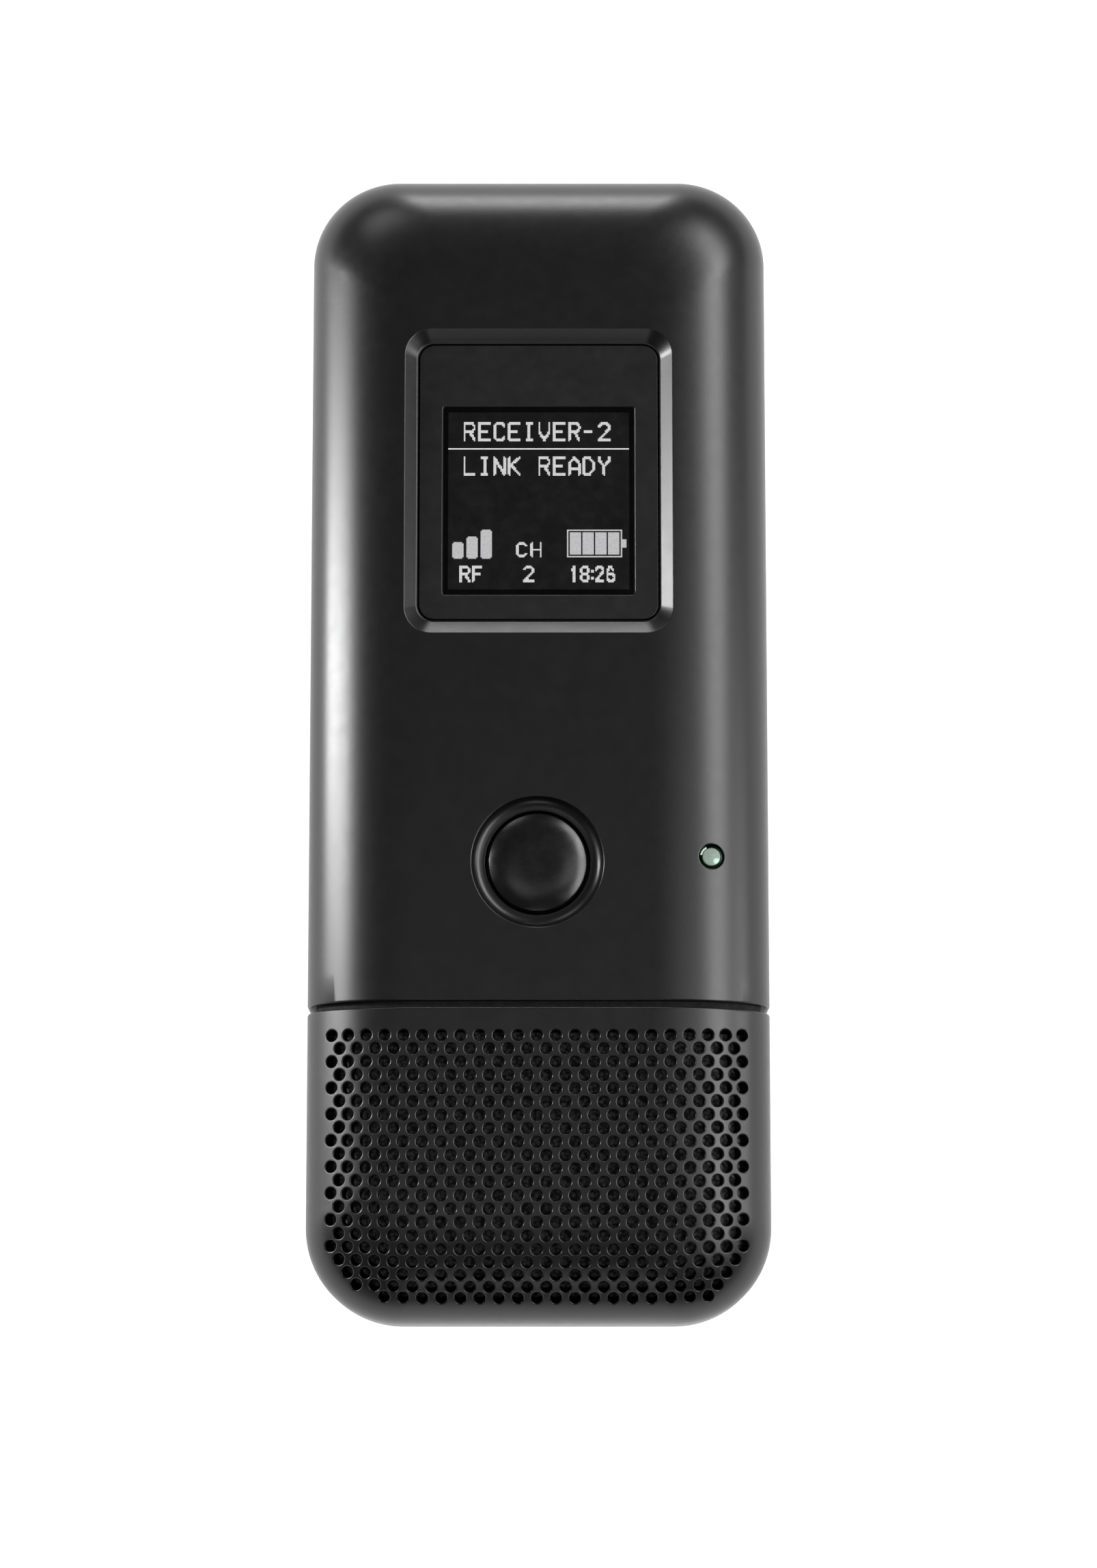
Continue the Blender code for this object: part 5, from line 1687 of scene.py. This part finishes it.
def paint_inner_nodes():
    chip = plastic("chip_epoxy", (0.012, 0.012, 0.013), (0.02, 0.02, 0.021), (0.5, 0.7), 0.08, 0.003)
    film = plastic("battery_film", (0.10, 0.12, 0.16), (0.14, 0.16, 0.21), (0.3, 0.45), 0.9, 0.03)
    copper = metal("copper_alloy", (0.72, 0.40, 0.22), (0.86, 0.54, 0.32), (0.22, 0.36))
    ribbon = ribbon_material()
    finishes = {
        chip: ("audio_chip", "power_chip", "processor", "radio_chip"),
        film: ("battery_pack",), copper: ("antenna_strip",), board_material(): ("main_board",),
        ribbon: ("battery_ribbon", "display_ribbon", "mic_ribbon"),
        RUBBER: ("seam_gasket", "display_gasket", "mic_boot"),
        INNER: ("grille_carrier", "switch_plunger"),
        TINNED: ("rf_shield", "switch_body", "mic_capsule"),
    }
    for material, nodes in finishes.items():
        for node in nodes:
            paint(node, material)


# ---------------------------------------------------------------- stage

AIM = (0.00095, -0.0052, FRONT_Z * MM)
CAMERA_DISTANCE = 0.420
CAMERA_TILT = math.radians(9.07)
SENSOR_WIDTH = 36.0      # millimetres on the camera's own scale
FOCAL_LENGTH = 144.9
FLOOR_SIZE = 4.0         # metres, as are the next value and the softboxes' distances and sizes
FLOOR_DROP = 0.0004
FLOOR_GLOW = 0.95
WORLD_GLOW = 0.03


def camera():
    data = bpy.data.cameras.new("camera")
    data.sensor_fit = "HORIZONTAL"
    data.sensor_width = SENSOR_WIDTH
    data.lens = FOCAL_LENGTH
    data.clip_start = 0.01
    data.clip_end = 20.0
    node = bpy.data.objects.new("camera", data)
    bpy.context.scene.collection.objects.link(node)
    node.rotation_euler = (CAMERA_TILT, 0, 0)
    away = Vector((0, -math.sin(CAMERA_TILT), math.cos(CAMERA_TILT)))
    node.location = Vector(AIM) + away * CAMERA_DISTANCE
    bpy.context.scene.camera = node


def softbox(name, azimuth, polar, distance, size, power):
    """A rectangular light aimed at the case; size is (across the polar arc, along it)."""
    data = bpy.data.lights.new(name, "AREA")
    data.shape = "RECTANGLE"
    data.size, data.size_y = size
    data.energy = power
    node = bpy.data.objects.new(name, data)
    bpy.context.scene.collection.objects.link(node)
    around, down = math.radians(azimuth), math.radians(polar)
    away = Vector((math.sin(down) * math.cos(around), math.sin(down) * math.sin(around), math.cos(down)))
    node.location = Vector((0, 0, FRONT_Z * MM)) + away * distance
    node.rotation_euler = (down, 0, around + HALF_PI)


def floor():
    """Pale paper that glows by itself, so that it stays white with hardly a shadow."""
    bpy.ops.mesh.primitive_grid_add(x_subdivisions=2, y_subdivisions=2, size=FLOOR_SIZE,
                                    location=(0, 0, -FLOOR_DROP))
    node = bpy.context.object
    node.name = "floor"
    material, tree, shader = node_tree("floor_paper")
    paper = tinted(tree, noise(tree, 40.0), (0.30, 0.30, 0.30), (0.33, 0.33, 0.33))
    tree.links.new(paper, shader.inputs["Base Color"])
    shader.inputs["Roughness"].default_value = 0.9
    shader.inputs["Specular IOR Level"].default_value = 0.1
    shader.inputs["Emission Color"].default_value = (1, 1, 1, 1)
    shader.inputs["Emission Strength"].default_value = FLOOR_GLOW
    node.data.materials.append(material)


def stage():
    scene = bpy.context.scene
    scene.view_settings.view_transform = "Standard"
    world = bpy.data.worlds.new("world")
    scene.world = world
    world.use_nodes = True
    background = world.node_tree.nodes["Background"]
    background.inputs["Color"].default_value = (1, 1, 1, 1)
    background.inputs["Strength"].default_value = WORLD_GLOW
    softbox("key_right", 0, 47, 0.8, (0.80, 0.25), 5.2)
    softbox("key_high", 0, 21, 0.8, (0.24, 0.25), 0.35)
    softbox("key_low", 0, 75, 0.8, (0.20, 0.30), 1.3)
    softbox("key_corner", 45, 55, 0.8, (0.40, 0.20), 2.2)
    softbox("rim_left", 169, 92.3, 0.4, (0.018, 0.50), 4.2)
    softbox("side_left", 180, 67, 0.8, (0.20, 0.35), 0.35)
    softbox("rim_top", 90, 85, 0.8, (0.20, 0.25), 1.8)
    softbox("corner_left", 116, 64, 0.8, (0.25, 0.20), 0.55)
    softbox("fill_below", 270, 60, 0.8, (0.30, 0.25), 0.4)
    softbox("fill_front", 222, 13, 0.8, (0.24, 0.24), 0.22)


# ---------------------------------------------------------------- everything

def build():
    place(front_shell().object("front_shell_skin", CASE), "case", "case_plastic", "front_shell")
    place(rear_shell().object("rear_shell_skin", CASE), "case", "case_plastic", "rear_shell")
    place(grille_cap().object("grille_cap_skin", CAP), "case", "cap_plastic", "grille_cap")
    seam_gasket_lip()
    foam_windscreen(FOAM)
    display_bezel()
    display_image(display_window())
    push_button()
    light_pipe()
    light_pipe_seat()
    usb_port()
    audio_jack()
    for node in SCREW_NODES + ["clip_screw_1", "clip_screw_2"]:
        screw(node)
    belt_clip()
    clip_pad()
    clip_bracket()
    hinge_pin()
    clip_spring()
    paint_inner_nodes()


build()
floor()
camera()
stage()
